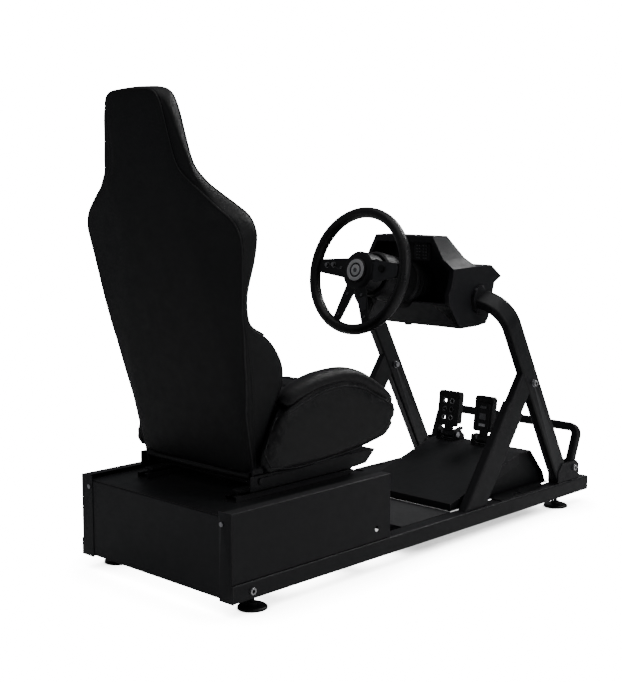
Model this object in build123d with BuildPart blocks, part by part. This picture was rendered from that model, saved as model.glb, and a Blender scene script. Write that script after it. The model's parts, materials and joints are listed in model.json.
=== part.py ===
from build123d import *
import os
from math import atan, cos, degrees, radians, sin

os.makedirs("parts", exist_ok=True)

# ------------------------------------------------------------------ driving dimensions, mm
# +x is the driver's right, +y is forward, +z is up; z = 0 is the floor.
CLEAR = 0.05                            # radial running clearance of shafts and pins
SHEET = 2.0                             # folded sheet steel

RAIL_REAR, RAIL_FRONT = -723.0, 772.0
RAIL_OUT, RAIL_W, RAIL_H, RAIL_WALL = 290.0, 45.0, 44.0, 2.5
RAIL_Z = 35.0                           # underside of the rails
RAIL_TOP = RAIL_Z + RAIL_H
RAIL_IN = RAIL_OUT - RAIL_W
FOOT_X, FOOT_Y, FOOT_R = 258.0, (-635.0, 645.0), 36.0

BOX_REAR, BOX_FRONT, BOX_TOP, BOX_OUT = -725.0, -170.0, 249.0, 286.0
DECK_Z = 235.0                          # underside of the deck that carries the seat

LEG_X = 265.0                           # centre of the stand's legs and braces
TUBE_W, TUBE_D = 30.0, 60.0             # stand tube, across and along the rig
STAND_LEAN = 28.6                       # degrees from vertical, leaning back
BAR_Y, BAR_Z = 344.0, 655.0             # centre of the stand's crossbar
BEND_R = 85.0
BOLT_R = 5.0

WHEEL_CENTRE = (0.0, 22.0, 746.0)
COLUMN_TILT = radians(13.0)
WHEEL_R, RIM_R = 181.0, 15.5
SPOKE_SPREAD = radians(21.0)            # each lower spoke from straight down

UNIT_HALF = 180.0                       # half width of the steering housing
HOOD_HALF, HOOD_TOP = 107.0, 838.0

BACK_FOOT = (0.0, -584.3, 300.0)        # rear lower edge of the backrest
BACK_TILT = radians(11.9)
RECLINE_Y, RECLINE_Z = -560.0, 284.0

PEDAL_Y, PEDAL_Z = 492.0, 208.0         # pivot line of the pedals
PEDAL_LEAN = radians(8.0)

FORWARD = (0.0, cos(COLUMN_TILT), -sin(COLUMN_TILT))
WHEEL = Plane(origin=WHEEL_CENTRE, x_dir=(1, 0, 0), z_dir=(0, -cos(COLUMN_TILT), sin(COLUMN_TILT)))
LEAN = radians(STAND_LEAN)
HOOP = Plane(origin=(0, BAR_Y, BAR_Z), x_dir=(1, 0, 0), z_dir=(0, -cos(LEAN), -sin(LEAN)))
BACK = Plane(origin=BACK_FOOT, x_dir=(1, 0, 0), z_dir=(0, -cos(BACK_TILT), -sin(BACK_TILT)))


def across(y):
    """Plane at y, drawn in x and z. A negative extrude runs forward, to +y."""
    return Plane.XZ.offset(-y)


def side(x):
    """Plane at x, drawn in y and z. An extrude runs to +x."""
    return Plane.YZ.offset(x)


def on_column(x, up, ahead):
    """A point given from the wheel centre: right, up in the wheel's plane, ahead on its axis."""
    y = WHEEL_CENTRE[1] + up * sin(COLUMN_TILT) + ahead * cos(COLUMN_TILT)
    z = WHEEL_CENTRE[2] + up * cos(COLUMN_TILT) - ahead * sin(COLUMN_TILT)
    return (x, y, z)


def save(piece, name):
    """Label a finished piece and write it to its own file."""
    piece.part.label = name
    export_step(piece.part, f"parts/{name}.step")


def save_pair(piece, name):
    """Write the right-hand piece and its mirror image."""
    with BuildPart() as twin:
        mirror(piece.part, about=Plane.YZ)
    save(piece, f"{name}_right")
    save(twin, f"{name}_left")


def turned(profile, centre, direction):
    """A turned piece. The profile is (radius, distance along the axis) points."""
    half = Plane(origin=centre, x_dir=(1, 0, 0), z_dir=Vector(1, 0, 0).cross(Vector(*direction)))
    with BuildPart() as piece:
        with BuildSketch(half):
            with BuildLine():
                Polyline(*profile, close=True)
            make_face()
        revolve(axis=Axis(centre, direction))
    return piece


def plate(outline, x0, x1, radius=0.0):
    """A flat piece drawn in y and z, from x0 to x1, its corners rounded by radius."""
    with BuildPart() as piece:
        with BuildSketch(side(x0)) as face:
            with BuildLine():
                Polyline(*outline, close=True)
            make_face()
            if radius:
                fillet(face.vertices(), radius)
        extrude(amount=x1 - x0)
    return piece


# ------------------------------------------------------------------ base rails and feet
with BuildPart() as rail:
    with BuildSketch(across(RAIL_REAR)):
        with Locations((RAIL_OUT - RAIL_W / 2, RAIL_Z + RAIL_H / 2)):
            RectangleRounded(RAIL_W, RAIL_H, 5)
            RectangleRounded(RAIL_W - 2 * RAIL_WALL, RAIL_H - 2 * RAIL_WALL, 2.5, mode=Mode.SUBTRACT)
    extrude(amount=RAIL_REAR - RAIL_FRONT)
    with BuildSketch(Plane.XY.offset(RAIL_Z)):          # threaded bushes for the feet
        with Locations(*[(FOOT_X, y) for y in FOOT_Y]):
            Circle(10)
    extrude(amount=22)
    with BuildSketch(Plane.XY.offset(RAIL_Z)):
        with Locations(*[(FOOT_X, y) for y in FOOT_Y]):
            Circle(BOLT_R + CLEAR)
    extrude(amount=22, mode=Mode.SUBTRACT)
    with BuildSketch(side(RAIL_OUT - RAIL_WALL - 1)):   # hole of the rear bolt
        with Locations((-664, 55)):
            Circle(BOLT_R)
    extrude(amount=RAIL_WALL + 2, mode=Mode.SUBTRACT)
save_pair(rail, "rail")

with BuildPart() as rail_end_caps:
    with BuildSketch(across(RAIL_FRONT)):
        with Locations((RAIL_OUT - RAIL_W / 2, RAIL_Z + RAIL_H / 2)):
            RectangleRounded(RAIL_W, RAIL_H, 5)
    extrude(amount=-3)
    with BuildSketch(across(RAIL_FRONT)):
        with Locations((RAIL_OUT - RAIL_W / 2, RAIL_Z + RAIL_H / 2)):
            RectangleRounded(RAIL_W - 2 * RAIL_WALL, RAIL_H - 2 * RAIL_WALL, 2.5)
    extrude(amount=14)
    fillet(rail_end_caps.faces().sort_by(Axis.Y)[-1].edges(), 1.2)
    mirror(about=Plane.YZ)
save(rail_end_caps, "rail_end_caps")

FOOT_PROFILE = [(0, 0), (FOOT_R, 0), (FOOT_R, 5), (FOOT_R - 4, 8), (13, 10), (13, 16), (BOLT_R, 16),
                (BOLT_R, 27), (9.5, 27), (9.5, RAIL_Z), (BOLT_R, RAIL_Z), (BOLT_R, 60), (0, 60)]
for y, end in zip(FOOT_Y, ("rear", "front")):
    for x, hand in ((FOOT_X, "right"), (-FOOT_X, "left")):
        save(turned(FOOT_PROFILE, (x, y, 0), (0, 0, 1)), f"levelling_foot_{end}_{hand}")

with BuildPart() as cross_members:
    with BuildSketch(side(-RAIL_IN)):
        with Locations((-560, 57), (-260, 57)):
            RectangleRounded(50, 30, 4)
            RectangleRounded(45, 25, 2, mode=Mode.SUBTRACT)
    extrude(amount=2 * RAIL_IN)
save(cross_members, "cross_members")

# ------------------------------------------------------------------ sheet-metal seat box
with BuildPart() as side_panel:
    with BuildSketch(across(BOX_REAR + SHEET)) as fold:
        with BuildLine():
            Polyline((257, BOX_TOP), (BOX_OUT, BOX_TOP), (BOX_OUT, RAIL_TOP), (257, RAIL_TOP),
                     (257, RAIL_TOP + SHEET), (BOX_OUT - SHEET, RAIL_TOP + SHEET),
                     (BOX_OUT - SHEET, BOX_TOP - SHEET), (257, BOX_TOP - SHEET), close=True)
        make_face()
        fillet(fold.vertices().group_by(Axis.X)[-1], 3)
    extrude(amount=BOX_REAR + SHEET - BOX_FRONT)
    with BuildSketch(across(BOX_REAR)):                 # rear flange, which covers the rail's end
        with BuildLine():
            Polyline((242, RAIL_Z), (RAIL_OUT, RAIL_Z), (RAIL_OUT, RAIL_TOP), (BOX_OUT, RAIL_TOP),
                     (BOX_OUT, BOX_TOP), (242, BOX_TOP), close=True)
        make_face()
    extrude(amount=-SHEET)
    with BuildSketch(across(BOX_FRONT - SHEET)):        # front return
        with Locations((BOX_OUT - 9, (BOX_TOP + RAIL_TOP) / 2)):
            Rectangle(18 - 2 * SHEET, BOX_TOP - RAIL_TOP - 2 * SHEET)
    extrude(amount=-SHEET)
    with BuildSketch(side(BOX_OUT - 4)):                # cable hole near the front
        with Locations((-221, 112)):
            Circle(8)
    extrude(amount=8, mode=Mode.SUBTRACT)
    with BuildSketch(across(BOX_REAR - 1)):             # screw hole of the rear flange
        with Locations((253, 220)):
            Circle(3)
    extrude(amount=-6, mode=Mode.SUBTRACT)
save_pair(side_panel, "side_panel")

with BuildPart() as rear_panel:
    with BuildSketch(Plane.XY.offset(40)):
        with Locations((0, BOX_REAR + SHEET + 12.5)):
            Rectangle(2 * RAIL_IN, 25)
        with Locations((0, BOX_REAR + 2 * SHEET + 12.5)):
            Rectangle(2 * RAIL_IN - 2 * SHEET, 25, mode=Mode.SUBTRACT)
    extrude(amount=DECK_Z - 40)
    with BuildSketch(Plane.XY.offset(DECK_Z - SHEET)):
        with Locations((0, BOX_REAR + 2 * SHEET + 11.5)):
            Rectangle(2 * RAIL_IN - 2 * SHEET, 23)
    extrude(amount=SHEET)
save(rear_panel, "rear_panel")

with BuildPart() as seat_deck:
    with BuildSketch(across(BOX_REAR + 2 * SHEET)):
        with Locations((0, DECK_Z + 1.5)):
            Rectangle(2 * BOX_OUT - 2 * SHEET, 3)
        with Locations((BOX_OUT - SHEET - 1.5, DECK_Z - 15), (SHEET + 1.5 - BOX_OUT, DECK_Z - 15)):
            Rectangle(3, 30)
    extrude(amount=BOX_REAR + 2 * SHEET - BOX_FRONT + 10)
    with BuildSketch(across(BOX_FRONT - 13)):           # stiffening lip under the front edge
        with Locations((0, DECK_Z - 15)):
            Rectangle(2 * BOX_OUT - 2 * SHEET - 6, 30)
    extrude(amount=-3)
save(seat_deck, "seat_deck")

front_deck = plate([(-75, 79), (137, 79), (137, 56), (134, 56), (134, 76), (-72, 76), (-72, 56), (-75, 56)],
                   -RAIL_IN, RAIL_IN)
save(front_deck, "front_deck")

# ------------------------------------------------------------------ seat slides
SLIDE_X, SLIDE_Z = 168.0, DECK_Z + 3
SLIDE_LONG = 400.0
with BuildPart() as channel:
    with BuildSketch(across(-620)):
        with BuildLine():
            Polyline((-20, 0), (20, 0), (20, 14), (8, 14), (8, 12), (18, 12), (18, 2.5), (-18, 2.5),
                     (-18, 12), (-8, 12), (-8, 14), (-20, 14), close=True)
        make_face()
    extrude(amount=-SLIDE_LONG)
with BuildPart() as slider_channels:
    with Locations((SLIDE_X, 0, SLIDE_Z), (-SLIDE_X, 0, SLIDE_Z)):
        add(channel.part)
save(slider_channels, "slider_channels")

with BuildPart() as slider_runners:
    with BuildSketch(across(-600)):
        for x in (SLIDE_X, -SLIDE_X):
            with Locations((x, SLIDE_Z + 7)):
                Rectangle(34, 7)
            with Locations((x, SLIDE_Z + 15.5)):
                Rectangle(10, 17)
            with Locations((x, SLIDE_Z + 22)):
                Rectangle(30, 6)
    extrude(amount=-SLIDE_LONG)
save(slider_runners, "slider_runners")
PAN_Z = SLIDE_Z + 25

# ------------------------------------------------------------------ seat pan and cushions
with BuildPart() as seat_pan:
    with BuildSketch(Plane.XY.offset(PAN_Z)):
        with Locations((0, -375)):
            Rectangle(420, 330)
            with GridLocations(180, 150, 2, 2):
                RectangleRounded(90, 70, 12, mode=Mode.SUBTRACT)
    extrude(amount=3)
    for x0 in (207, -210):                              # side cheeks, slanted at the front
        with BuildSketch(side(x0)):
            with BuildLine():
                Polyline((-592, 262), (-250, 262), (-180, 266), (-146, 296), (-146, 299), (-592, 299),
                         close=True)
            make_face()
        extrude(amount=3)
    with BuildSketch(Plane.XY.offset(296)):
        with Locations((0, -331)):
            Rectangle(420, 370)
            Rectangle(340, 290, mode=Mode.SUBTRACT)
    extrude(amount=3)
    with BuildSketch(side(-220)):
        with Locations((RECLINE_Y, RECLINE_Z)):
            Circle(8 + CLEAR)
    extrude(amount=440, mode=Mode.SUBTRACT)
save(seat_pan, "seat_pan")

SEAT_SIDE = [(-508, 303), (-140, 330), (-78, 395), (-80, 425), (-112, 448), (-528, 402)]
seat_cushion = plate(SEAT_SIDE, -165, 165, 14)
save(seat_cushion, "seat_cushion")

with BuildPart() as cushion_bolster:
    with BuildSketch(side(165)) as outline:
        with BuildLine():
            Polyline((-585, 303), (-440, 301), (-268, 313), (-140, 334), (-92, 385), (-104, 436), (-153, 466),
                     (-285, 530), (-440, 512), (-502, 482), (-552, 420), close=True)
        make_face()
        fillet(outline.vertices(), 14)
    extrude(amount=85)
    with BuildSketch(Plane.XY.offset(290)):             # room for the foot of the backrest
        with Locations((190, -565)):
            Rectangle(52, 106)
    extrude(amount=240, mode=Mode.SUBTRACT)
    fillet(cushion_bolster.faces().sort_by(Axis.X)[-1].edges(), 12)
save_pair(cushion_bolster, "cushion_bolster")

# ------------------------------------------------------------------ backrest
# half width and height, measured up along its rear face
BACK_OUTLINE = [(208, 12), (212, 60), (224, 180), (241, 290), (252, 372), (258, 450), (267, 511), (270, 560),
                (264, 605), (252, 632), (236, 652), (214, 675), (186, 700), (168, 735), (157, 765), (141, 810),
                (126, 850), (108, 892), (98, 912), (82, 925)]


def back_section(limit):
    """The backrest's outline on both sides, no wider than twice the limit."""
    right = [(min(x, limit), h) for x, h in BACK_OUTLINE]
    return right + [(-x, h) for x, h in reversed(right)]


with BuildPart() as backrest_shell:
    with BuildSketch(BACK) as outline:
        with BuildLine():
            Polyline(*back_section(205), close=True)
        make_face()
        fillet(outline.vertices().group_by(Axis.Y)[-1], 10)
    extrude(amount=-10)
save(backrest_shell, "backrest_shell")

with BuildPart() as backrest_pad:
    with BuildSketch(BACK.offset(-10)) as outline:
        with BuildLine():
            Polyline(*back_section(212), close=True)
        make_face()
        fillet(outline.vertices().group_by(Axis.Y)[-1], 10)
    extrude(amount=-46)
    fillet(backrest_pad.faces().sort_by(Axis.Y)[-1].edges(), 8)
save(backrest_pad, "backrest_pad")

# shoulder and side wings: height, outer half width, rear step, front step
WING = [(168, 222, 12, 124), (235, 232, 12, 124), (290, 241, 12, 102), (330, 247, 12, 76), (372, 252, 10, 50),
        (410, 255, 8, 40), (450, 259, 8, 40), (500, 266, 10, 54), (555, 270, 12, 74), (600, 265, 12, 72),
        (632, 252, 12, 62), (655, 234, 12, 56)]
BACK_RISE = Vector(0, -sin(BACK_TILT), cos(BACK_TILT))
with BuildPart() as backrest_wing:
    for height, outer, rear, front in WING:             # each section lies across the backrest
        level = Plane(origin=Vector(*BACK_FOOT) + BACK_RISE * height, x_dir=(1, 0, 0), z_dir=BACK_RISE)
        with BuildSketch(level):
            with BuildLine():
                Polyline((212.5, rear), (outer, rear + 10), (outer, front), (outer - 16, front + 6),
                         (212.5, front - 4), close=True)
            make_face()
    loft(ruled=True)
save_pair(backrest_wing, "backrest_wing")

with BuildPart() as recliner_arms:
    with BuildSketch(side(198)) as bar:
        with BuildLine():
            Polyline((-574, 272), (-546, 272), (-546, 300), (-565, 390), (-590, 390), (-580, 310), close=True)
        make_face()
    extrude(amount=6)
    with BuildSketch(side(198)):
        with Locations((RECLINE_Y, RECLINE_Z)):
            Circle(8)
    extrude(amount=16)
    add(backrest_shell.part, mode=Mode.SUBTRACT)
    add(backrest_pad.part, mode=Mode.SUBTRACT)
    mirror(about=Plane.YZ)
save(recliner_arms, "recliner_arms")

# recline lever on the left, and the bar under the front edge that frees the slides
with BuildPart() as recline_lever:
    with BuildSketch(side(-229)):
        with Locations((-520, 281)):
            Circle(15)
        with BuildLine():
            Polyline((-520, 272), (-400, 275), (-400, 287), (-520, 292), close=True)
        make_face()
    extrude(amount=12)
    with BuildSketch(side(-217)):
        with Locations((-520, 281)):
            Circle(6)
    extrude(amount=6.9)
    fillet(recline_lever.faces().sort_by(Axis.X)[0].edges(), 2)
save(recline_lever, "recline_lever")

with BuildPart() as slide_release_bar:
    with BuildLine():
        bar_wire = FilletPolyline((SLIDE_X - 30, -270, 249), (SLIDE_X - 30, -150, 255), (30 - SLIDE_X, -150, 255),
                                  (30 - SLIDE_X, -270, 249), radius=22)
    with BuildSketch(Plane(origin=bar_wire @ 0, z_dir=bar_wire % 0)):
        Circle(5)
    sweep()
save(slide_release_bar, "slide_release_bar")


# ------------------------------------------------------------------ stand
def stand_bar(width, depth, radius):
    """A solid bar swept along the stand: up the right leg, across and down the left leg."""
    drop = (BAR_Z - RAIL_TOP + 20) / cos(LEAN)
    with BuildPart() as bar:
        with BuildLine(HOOP) as route:
            FilletPolyline((LEG_X, -drop), (LEG_X, 0), (-LEG_X, 0), (-LEG_X, -drop), radius=BEND_R)
        with BuildSketch(Plane(origin=route.line @ 0, x_dir=(1, 0, 0), z_dir=route.line % 0)):
            RectangleRounded(width, depth, radius)
        sweep(path=route.line)
    return bar


stand_outside = stand_bar(TUBE_W, TUBE_D, 6)
stand_inside = stand_bar(TUBE_W - 5, TUBE_D - 5, 3.5)

BRACE_FOOT, BRACE_HEAD = (211.0, RAIL_TOP), (442.0, 402.0)
BRACE_TURN = degrees(atan((BRACE_HEAD[0] - BRACE_FOOT[0]) / (BRACE_HEAD[1] - BRACE_FOOT[1])))
BRACE_LONG = 322.0                      # from the foot to the seam, along the brace
BRACE_W, STUB_W = 80.0, 68.0
brace_up = Vector(0, sin(radians(BRACE_TURN)), cos(radians(BRACE_TURN)))
brace_start = Plane(origin=(LEG_X, BRACE_FOOT[0], BRACE_FOOT[1]), x_dir=(1, 0, 0), z_dir=brace_up)

with BuildPart() as stub:
    with BuildSketch(brace_start.offset(BRACE_LONG)):
        RectangleRounded(TUBE_W - 4, STUB_W, 5)
        RectangleRounded(TUBE_W - 9, STUB_W - 5, 3, mode=Mode.SUBTRACT)
    extrude(amount=120)
    add(stand_outside.part, mode=Mode.SUBTRACT)
stub_piece = stub.part.solids().sort_by(Axis.Z)[0]

with BuildPart() as hoop_stand:
    add(stand_outside.part)
    add(stand_inside.part, mode=Mode.SUBTRACT)
    add(stub_piece)
    mirror(stub_piece, about=Plane.YZ)
    split(bisect_by=Plane.XY.offset(RAIL_TOP), keep=Keep.TOP)
    with BuildSketch(side(-300)):
        with Locations((478, 406)):
            Circle(BOLT_R)
    extrude(amount=600, mode=Mode.SUBTRACT)
save(hoop_stand, "hoop_stand")

with BuildPart() as brace:
    with BuildSketch(brace_start.offset(-60)):
        RectangleRounded(TUBE_W, BRACE_W, 6)
        RectangleRounded(TUBE_W - 5, BRACE_W - 5, 3.5, mode=Mode.SUBTRACT)
    extrude(amount=60 + BRACE_LONG - 3)
    with BuildSketch(brace_start.offset(BRACE_LONG - 3)):
        RectangleRounded(TUBE_W, BRACE_W, 6)
    extrude(amount=3)
    split(bisect_by=Plane.XY.offset(RAIL_TOP), keep=Keep.TOP)
save_pair(brace, "brace")

PIVOT_Y, PIVOT_Z = 703.0, 116.0         # bolt of the front bar
BAR_TOP = (748.0, 231.0)
bar_rise = Vector(0, BAR_TOP[0] - PIVOT_Y, BAR_TOP[1] - PIVOT_Z).normalized()
FRONT_BAR = Plane(origin=(0, *BAR_TOP), x_dir=(1, 0, 0), z_dir=Vector(1, 0, 0).cross(bar_rise))
with BuildPart() as front_bar:
    with BuildLine(FRONT_BAR) as route:
        FilletPolyline((LEG_X, -142), (LEG_X, 0), (-LEG_X, 0), (-LEG_X, -142), radius=26)
    with BuildSketch(Plane(origin=route.line @ 0, x_dir=(1, 0, 0), z_dir=route.line % 0)):
        RectangleRounded(25, 25, 6)
        RectangleRounded(21, 21, 4, mode=Mode.SUBTRACT)
    sweep(path=route.line)
    with BuildSketch(side(-300)):
        with Locations((PIVOT_Y, PIVOT_Z)):
            Circle(BOLT_R)
    extrude(amount=600, mode=Mode.SUBTRACT)
save(front_bar, "front_bar")

CHEEK = [(618, RAIL_TOP), (730, RAIL_TOP), (730, 124), (716, 137), (640, 137), (618, 112)]
with BuildPart() as foot_brackets:
    for x0 in (LEG_X + 15, LEG_X - 19):
        with BuildSketch(side(x0)):
            with BuildLine():
                Polyline(*CHEEK, close=True)
            make_face()
        extrude(amount=4)
    for x0 in (LEG_X + 12.5, LEG_X - 15):
        with BuildSketch(side(x0)):
            with Locations((PIVOT_Y, PIVOT_Z)):
                Circle(11)
        extrude(amount=2.5)
    with BuildSketch(side(LEG_X - 30)):
        with Locations((PIVOT_Y, PIVOT_Z)):
            Circle(BOLT_R)
    extrude(amount=60, mode=Mode.SUBTRACT)
    mirror(about=Plane.YZ)
save(foot_brackets, "foot_brackets")

with BuildPart() as frame_bolts:
    for y, z, washer in ((478, 406, 4.0), (PIVOT_Y, PIVOT_Z, 0.0)):
        with BuildSketch(side(LEG_X - 27)):
            with Locations((y, z)):
                Circle(BOLT_R)
        extrude(amount=46)
        with BuildSketch(side(LEG_X + 19)):
            with Locations((y, z)):
                Circle(9)
        extrude(amount=6)
        with BuildSketch(side(LEG_X - 27)):
            with Locations((y, z)):
                RegularPolygon(9, 6)
        extrude(amount=8)
        if washer:
            with BuildSketch(side(LEG_X + 15)):
                with Locations((y, z)):
                    Circle(11)
            extrude(amount=washer)
            with BuildSketch(side(LEG_X - 19)):
                with Locations((y, z)):
                    Circle(11)
            extrude(amount=washer)
    mirror(about=Plane.YZ)
save(frame_bolts, "frame_bolts")

with BuildPart() as panel_screws:
    with BuildSketch(side(RAIL_OUT)):                   # button heads on the rails
        with Locations((-664, 55)):
            Circle(9)
    extrude(amount=4)
    with BuildSketch(side(RAIL_OUT - 8)):
        with Locations((-664, 55)):
            Circle(BOLT_R)
    extrude(amount=8)
    with BuildSketch(across(BOX_REAR)):                 # screws of the rear flange
        with Locations((253, 220)):
            Circle(6)
    extrude(amount=3)
    with BuildSketch(across(BOX_REAR)):
        with Locations((253, 220)):
            Circle(3)
    extrude(amount=-8)
    mirror(about=Plane.YZ)
save(panel_screws, "panel_screws")

# ------------------------------------------------------------------ pedal tray and pedals
with BuildPart() as pedal_tray:
    with BuildSketch(Plane.XY.offset(RAIL_TOP)):
        with Locations((0, 377.5)):
            Rectangle(2 * RAIL_IN - 2, 481)
        with Locations((0, 450)):
            Rectangle(2 * BOX_OUT - 2, 250)
        for x in (267, -267):
            with Locations(Location((x, 425, 0), 90)):
                SlotOverall(30, 9, mode=Mode.SUBTRACT)
    extrude(amount=3)
    with BuildSketch(across(137)):
        with Locations((0, RAIL_TOP + 10.5)):
            Rectangle(2 * RAIL_IN - 2, 21)
    extrude(amount=-3)
save(pedal_tray, "pedal_tray")

# the foot plate is one bent sheet with a flange down each sloping edge, on two set-in gussets
RAMP_LEFT, RAMP_RIGHT, RAMP_SKIN = -96.0, 240.0, 3.0
TRAY_TOP = RAIL_TOP + 3
RAMP = [(144, TRAY_TOP), (144, 97), (470, 190), (532, 190), (600, 112), (612, TRAY_TOP),
        (608, TRAY_TOP), (597, 111), (530, 187), (470, 187), (147, 94.5), (147, TRAY_TOP)]
RAMP_FLANGE = [(147, TRAY_TOP + 1), (147, 94.5), (470, 187), (470, 158), (182, TRAY_TOP + 1)]
GUSSET = [(330, TRAY_TOP), (330, 146.9), (470, 187), (530, 187), (597, 111), (608, TRAY_TOP)]
GUSSET_INSET = 16.0
with BuildPart() as foot_plate:
    add(plate(RAMP, RAMP_LEFT, RAMP_RIGHT).part)
    for x0 in (RAMP_LEFT, RAMP_RIGHT - RAMP_SKIN):
        add(plate(RAMP_FLANGE, x0, x0 + RAMP_SKIN).part)
    for x0 in (RAMP_LEFT + GUSSET_INSET, RAMP_RIGHT - RAMP_SKIN - GUSSET_INSET):
        add(plate(GUSSET, x0, x0 + RAMP_SKIN).part)
save(foot_plate, "foot_plate")

SPRING_TOP = 218.0
# name, place across, half width, radius of the holes
PEDALS = (("brake", -42.0, 40.0, 6.0), ("accelerator", 92.0, 33.0, 0.0))
CHEEK_IN, CHEEK_OUT = 30.0, 34.0
with BuildPart() as pedal_base:
    for _, x, _, _ in PEDALS:
        with BuildSketch(Plane.XY.offset(190)):
            with Locations((x, 502)):
                Rectangle(2 * CHEEK_OUT, 58)
        extrude(amount=4)
        for x0 in (x + CHEEK_IN, x - CHEEK_OUT):
            with BuildSketch(side(x0)):
                with BuildLine():
                    Polyline((475, 192), (531, 192), (531, 202), (506, 222), (478, 222), (475, 216),
                         close=True)
                make_face()
            extrude(amount=CHEEK_OUT - CHEEK_IN)
        with BuildSketch(side(x - 50)):
            with Locations((PEDAL_Y, PEDAL_Z)):
                Circle(6)
        extrude(amount=100, mode=Mode.SUBTRACT)
save(pedal_base, "pedal_base")

with BuildPart() as pedal_pivots:
    for _, x, _, _ in PEDALS:
        with BuildSketch(side(x - 38)):
            with Locations((PEDAL_Y, PEDAL_Z)):
                Circle(6)
        extrude(amount=76)
        for x0 in (x + CHEEK_OUT, x - CHEEK_OUT - 4):
            with BuildSketch(side(x0)):
                with Locations((PEDAL_Y, PEDAL_Z)):
                    Circle(9)
            extrude(amount=4)
save(pedal_pivots, "pedal_pivots")

for name, x, half, holes in PEDALS:
    rise = Vector(0, sin(PEDAL_LEAN), cos(PEDAL_LEAN))
    face = Plane(origin=(x, PEDAL_Y, PEDAL_Z), x_dir=(1, 0, 0), z_dir=Vector(1, 0, 0).cross(rise))
    with BuildPart() as pedal:
        with BuildSketch(side(x - 15)):                 # hub
            with Locations((PEDAL_Y, PEDAL_Z)):
                Circle(12)
        extrude(amount=42)
        with BuildSketch(face.offset(-7)):              # arm
            with Locations((0, 60)):
                Rectangle(26, 120)
        extrude(amount=14)
        with BuildSketch(side(x + 15)):                 # tail that presses on the spring
            with BuildLine():
                Polyline((PEDAL_Y, 220), (532, 226), (532, SPRING_TOP), (511, SPRING_TOP), (500, 210),
                         close=True)
            make_face()
        extrude(amount=12)
        with BuildSketch(face.offset(7)):               # pad with a folded rim
            with Locations((0, 76)):
                RectangleRounded(2 * half, 104, 8)
                if holes:
                    with GridLocations(26, 26, 2, 3):
                        Circle(holes, mode=Mode.SUBTRACT)
        extrude(amount=6)
        with BuildSketch(face.offset(-9)):
            with Locations((half - 1.5, 76), (1.5 - half, 76)):
                Rectangle(3, 84)
        extrude(amount=16)
        with BuildSketch(side(x - 40)):
            with Locations((PEDAL_Y, PEDAL_Z)):
                Circle(6 + CLEAR)
        extrude(amount=80, mode=Mode.SUBTRACT)
    save(pedal, f"{name}_pedal")
    coil = [(5.5, 194), (8.5, 194), (8.5, SPRING_TOP), (5.5, SPRING_TOP)]
    save(turned(coil, (x + 21, 521, 0), (0, 0, 1)), f"{name}_spring")

# ------------------------------------------------------------------ steering unit
JOURNAL_R, SHAFT_R, BEARING_R = 38.0, 10.0, 18.0
with BuildPart() as tilt_journals:
    with BuildSketch(side(116)):
        with Locations((BAR_Y, BAR_Z)):
            Circle(JOURNAL_R)
    extrude(amount=36)
    add(stand_outside.part, mode=Mode.SUBTRACT)
    with BuildSketch(side(181)):                        # collars outside the housing
        with Locations((BAR_Y, BAR_Z)):
            Circle(41.5)
    extrude(amount=9)
    add(stand_outside.part, mode=Mode.SUBTRACT)
    mirror(about=Plane.YZ)
save(tilt_journals, "tilt_journals")

BULKHEAD = 278.0                        # ahead of the wheel centre, on the column's axis
TUBE_R, TUBE_START = 22.0, 190.0
with BuildPart() as column_cradle:
    with BuildSketch(WHEEL.offset(-BULKHEAD)):
        with Locations((0, 26)):
            Rectangle(276, 116)
    extrude(amount=-6)
    with BuildSketch(WHEEL.offset(-BULKHEAD)):
        Circle(TUBE_R)
    extrude(amount=BULKHEAD - TUBE_START)
    for x0 in (132, -138):
        with BuildSketch(side(x0)):
            with BuildLine():
                Polyline((288, 650), (306, 590), (334, 590), (388, 640), (388, 676), (345, 712), (306, 730),
                         close=True)
            make_face()
            with Locations((BAR_Y, BAR_Z)):
                Circle(47)
        extrude(amount=6)
    for x0 in (138, -177):                              # posts that carry the housing
        with BuildSketch(side(x0)):
            with Locations((312, 716), (322, 600)):
                Circle(7)
        extrude(amount=39)
    with BuildSketch(side(-190)):
        with Locations((BAR_Y, BAR_Z)):
            Circle(JOURNAL_R + CLEAR)
    extrude(amount=380, mode=Mode.SUBTRACT)
    with BuildSketch(WHEEL.offset(-TUBE_START)):
        Circle(BEARING_R)
    extrude(amount=TUBE_START - BULKHEAD, mode=Mode.SUBTRACT)
save(column_cradle, "column_cradle")

with BuildPart() as shaft_bearings:
    for start in (TUBE_START + 2, BULKHEAD - 14):
        bore, end = SHAFT_R + CLEAR, start + 12
        race = [(bore, start), (BEARING_R, start), (BEARING_R, end), (bore, end)]
        add(turned(race, WHEEL_CENTRE, FORWARD).part)
save(shaft_bearings, "shaft_bearings")

PULLEY_AT, PULLEY_W, BIG_R, SMALL_R, MOTOR_X = 176.0, 10.0, 28.0, 10.0, 42.0
steering_shaft = turned([(0, 8), (SHAFT_R, 8), (SHAFT_R, PULLEY_AT), (BIG_R, PULLEY_AT),
                         (BIG_R, PULLEY_AT + PULLEY_W), (SHAFT_R, PULLEY_AT + PULLEY_W), (SHAFT_R, BULKHEAD - 1),
                         (0, BULKHEAD - 1)], WHEEL_CENTRE, FORWARD)
save(steering_shaft, "steering_shaft")

MOTOR_AXIS = on_column(MOTOR_X, 0, 0)
drive_motor = turned([(4 + CLEAR, 190), (8, 190), (8, 193), (17, 193), (19.5, 196), (19.5, BULKHEAD),
                      (4 + CLEAR, BULKHEAD)], MOTOR_AXIS, FORWARD)
save(drive_motor, "drive_motor")
motor_pulley = turned([(0, PULLEY_AT), (SMALL_R, PULLEY_AT), (SMALL_R, PULLEY_AT + PULLEY_W),
                       (4, PULLEY_AT + PULLEY_W), (4, BULKHEAD - 2), (0, BULKHEAD - 2)], MOTOR_AXIS, FORWARD)
save(motor_pulley, "motor_pulley")

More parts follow.
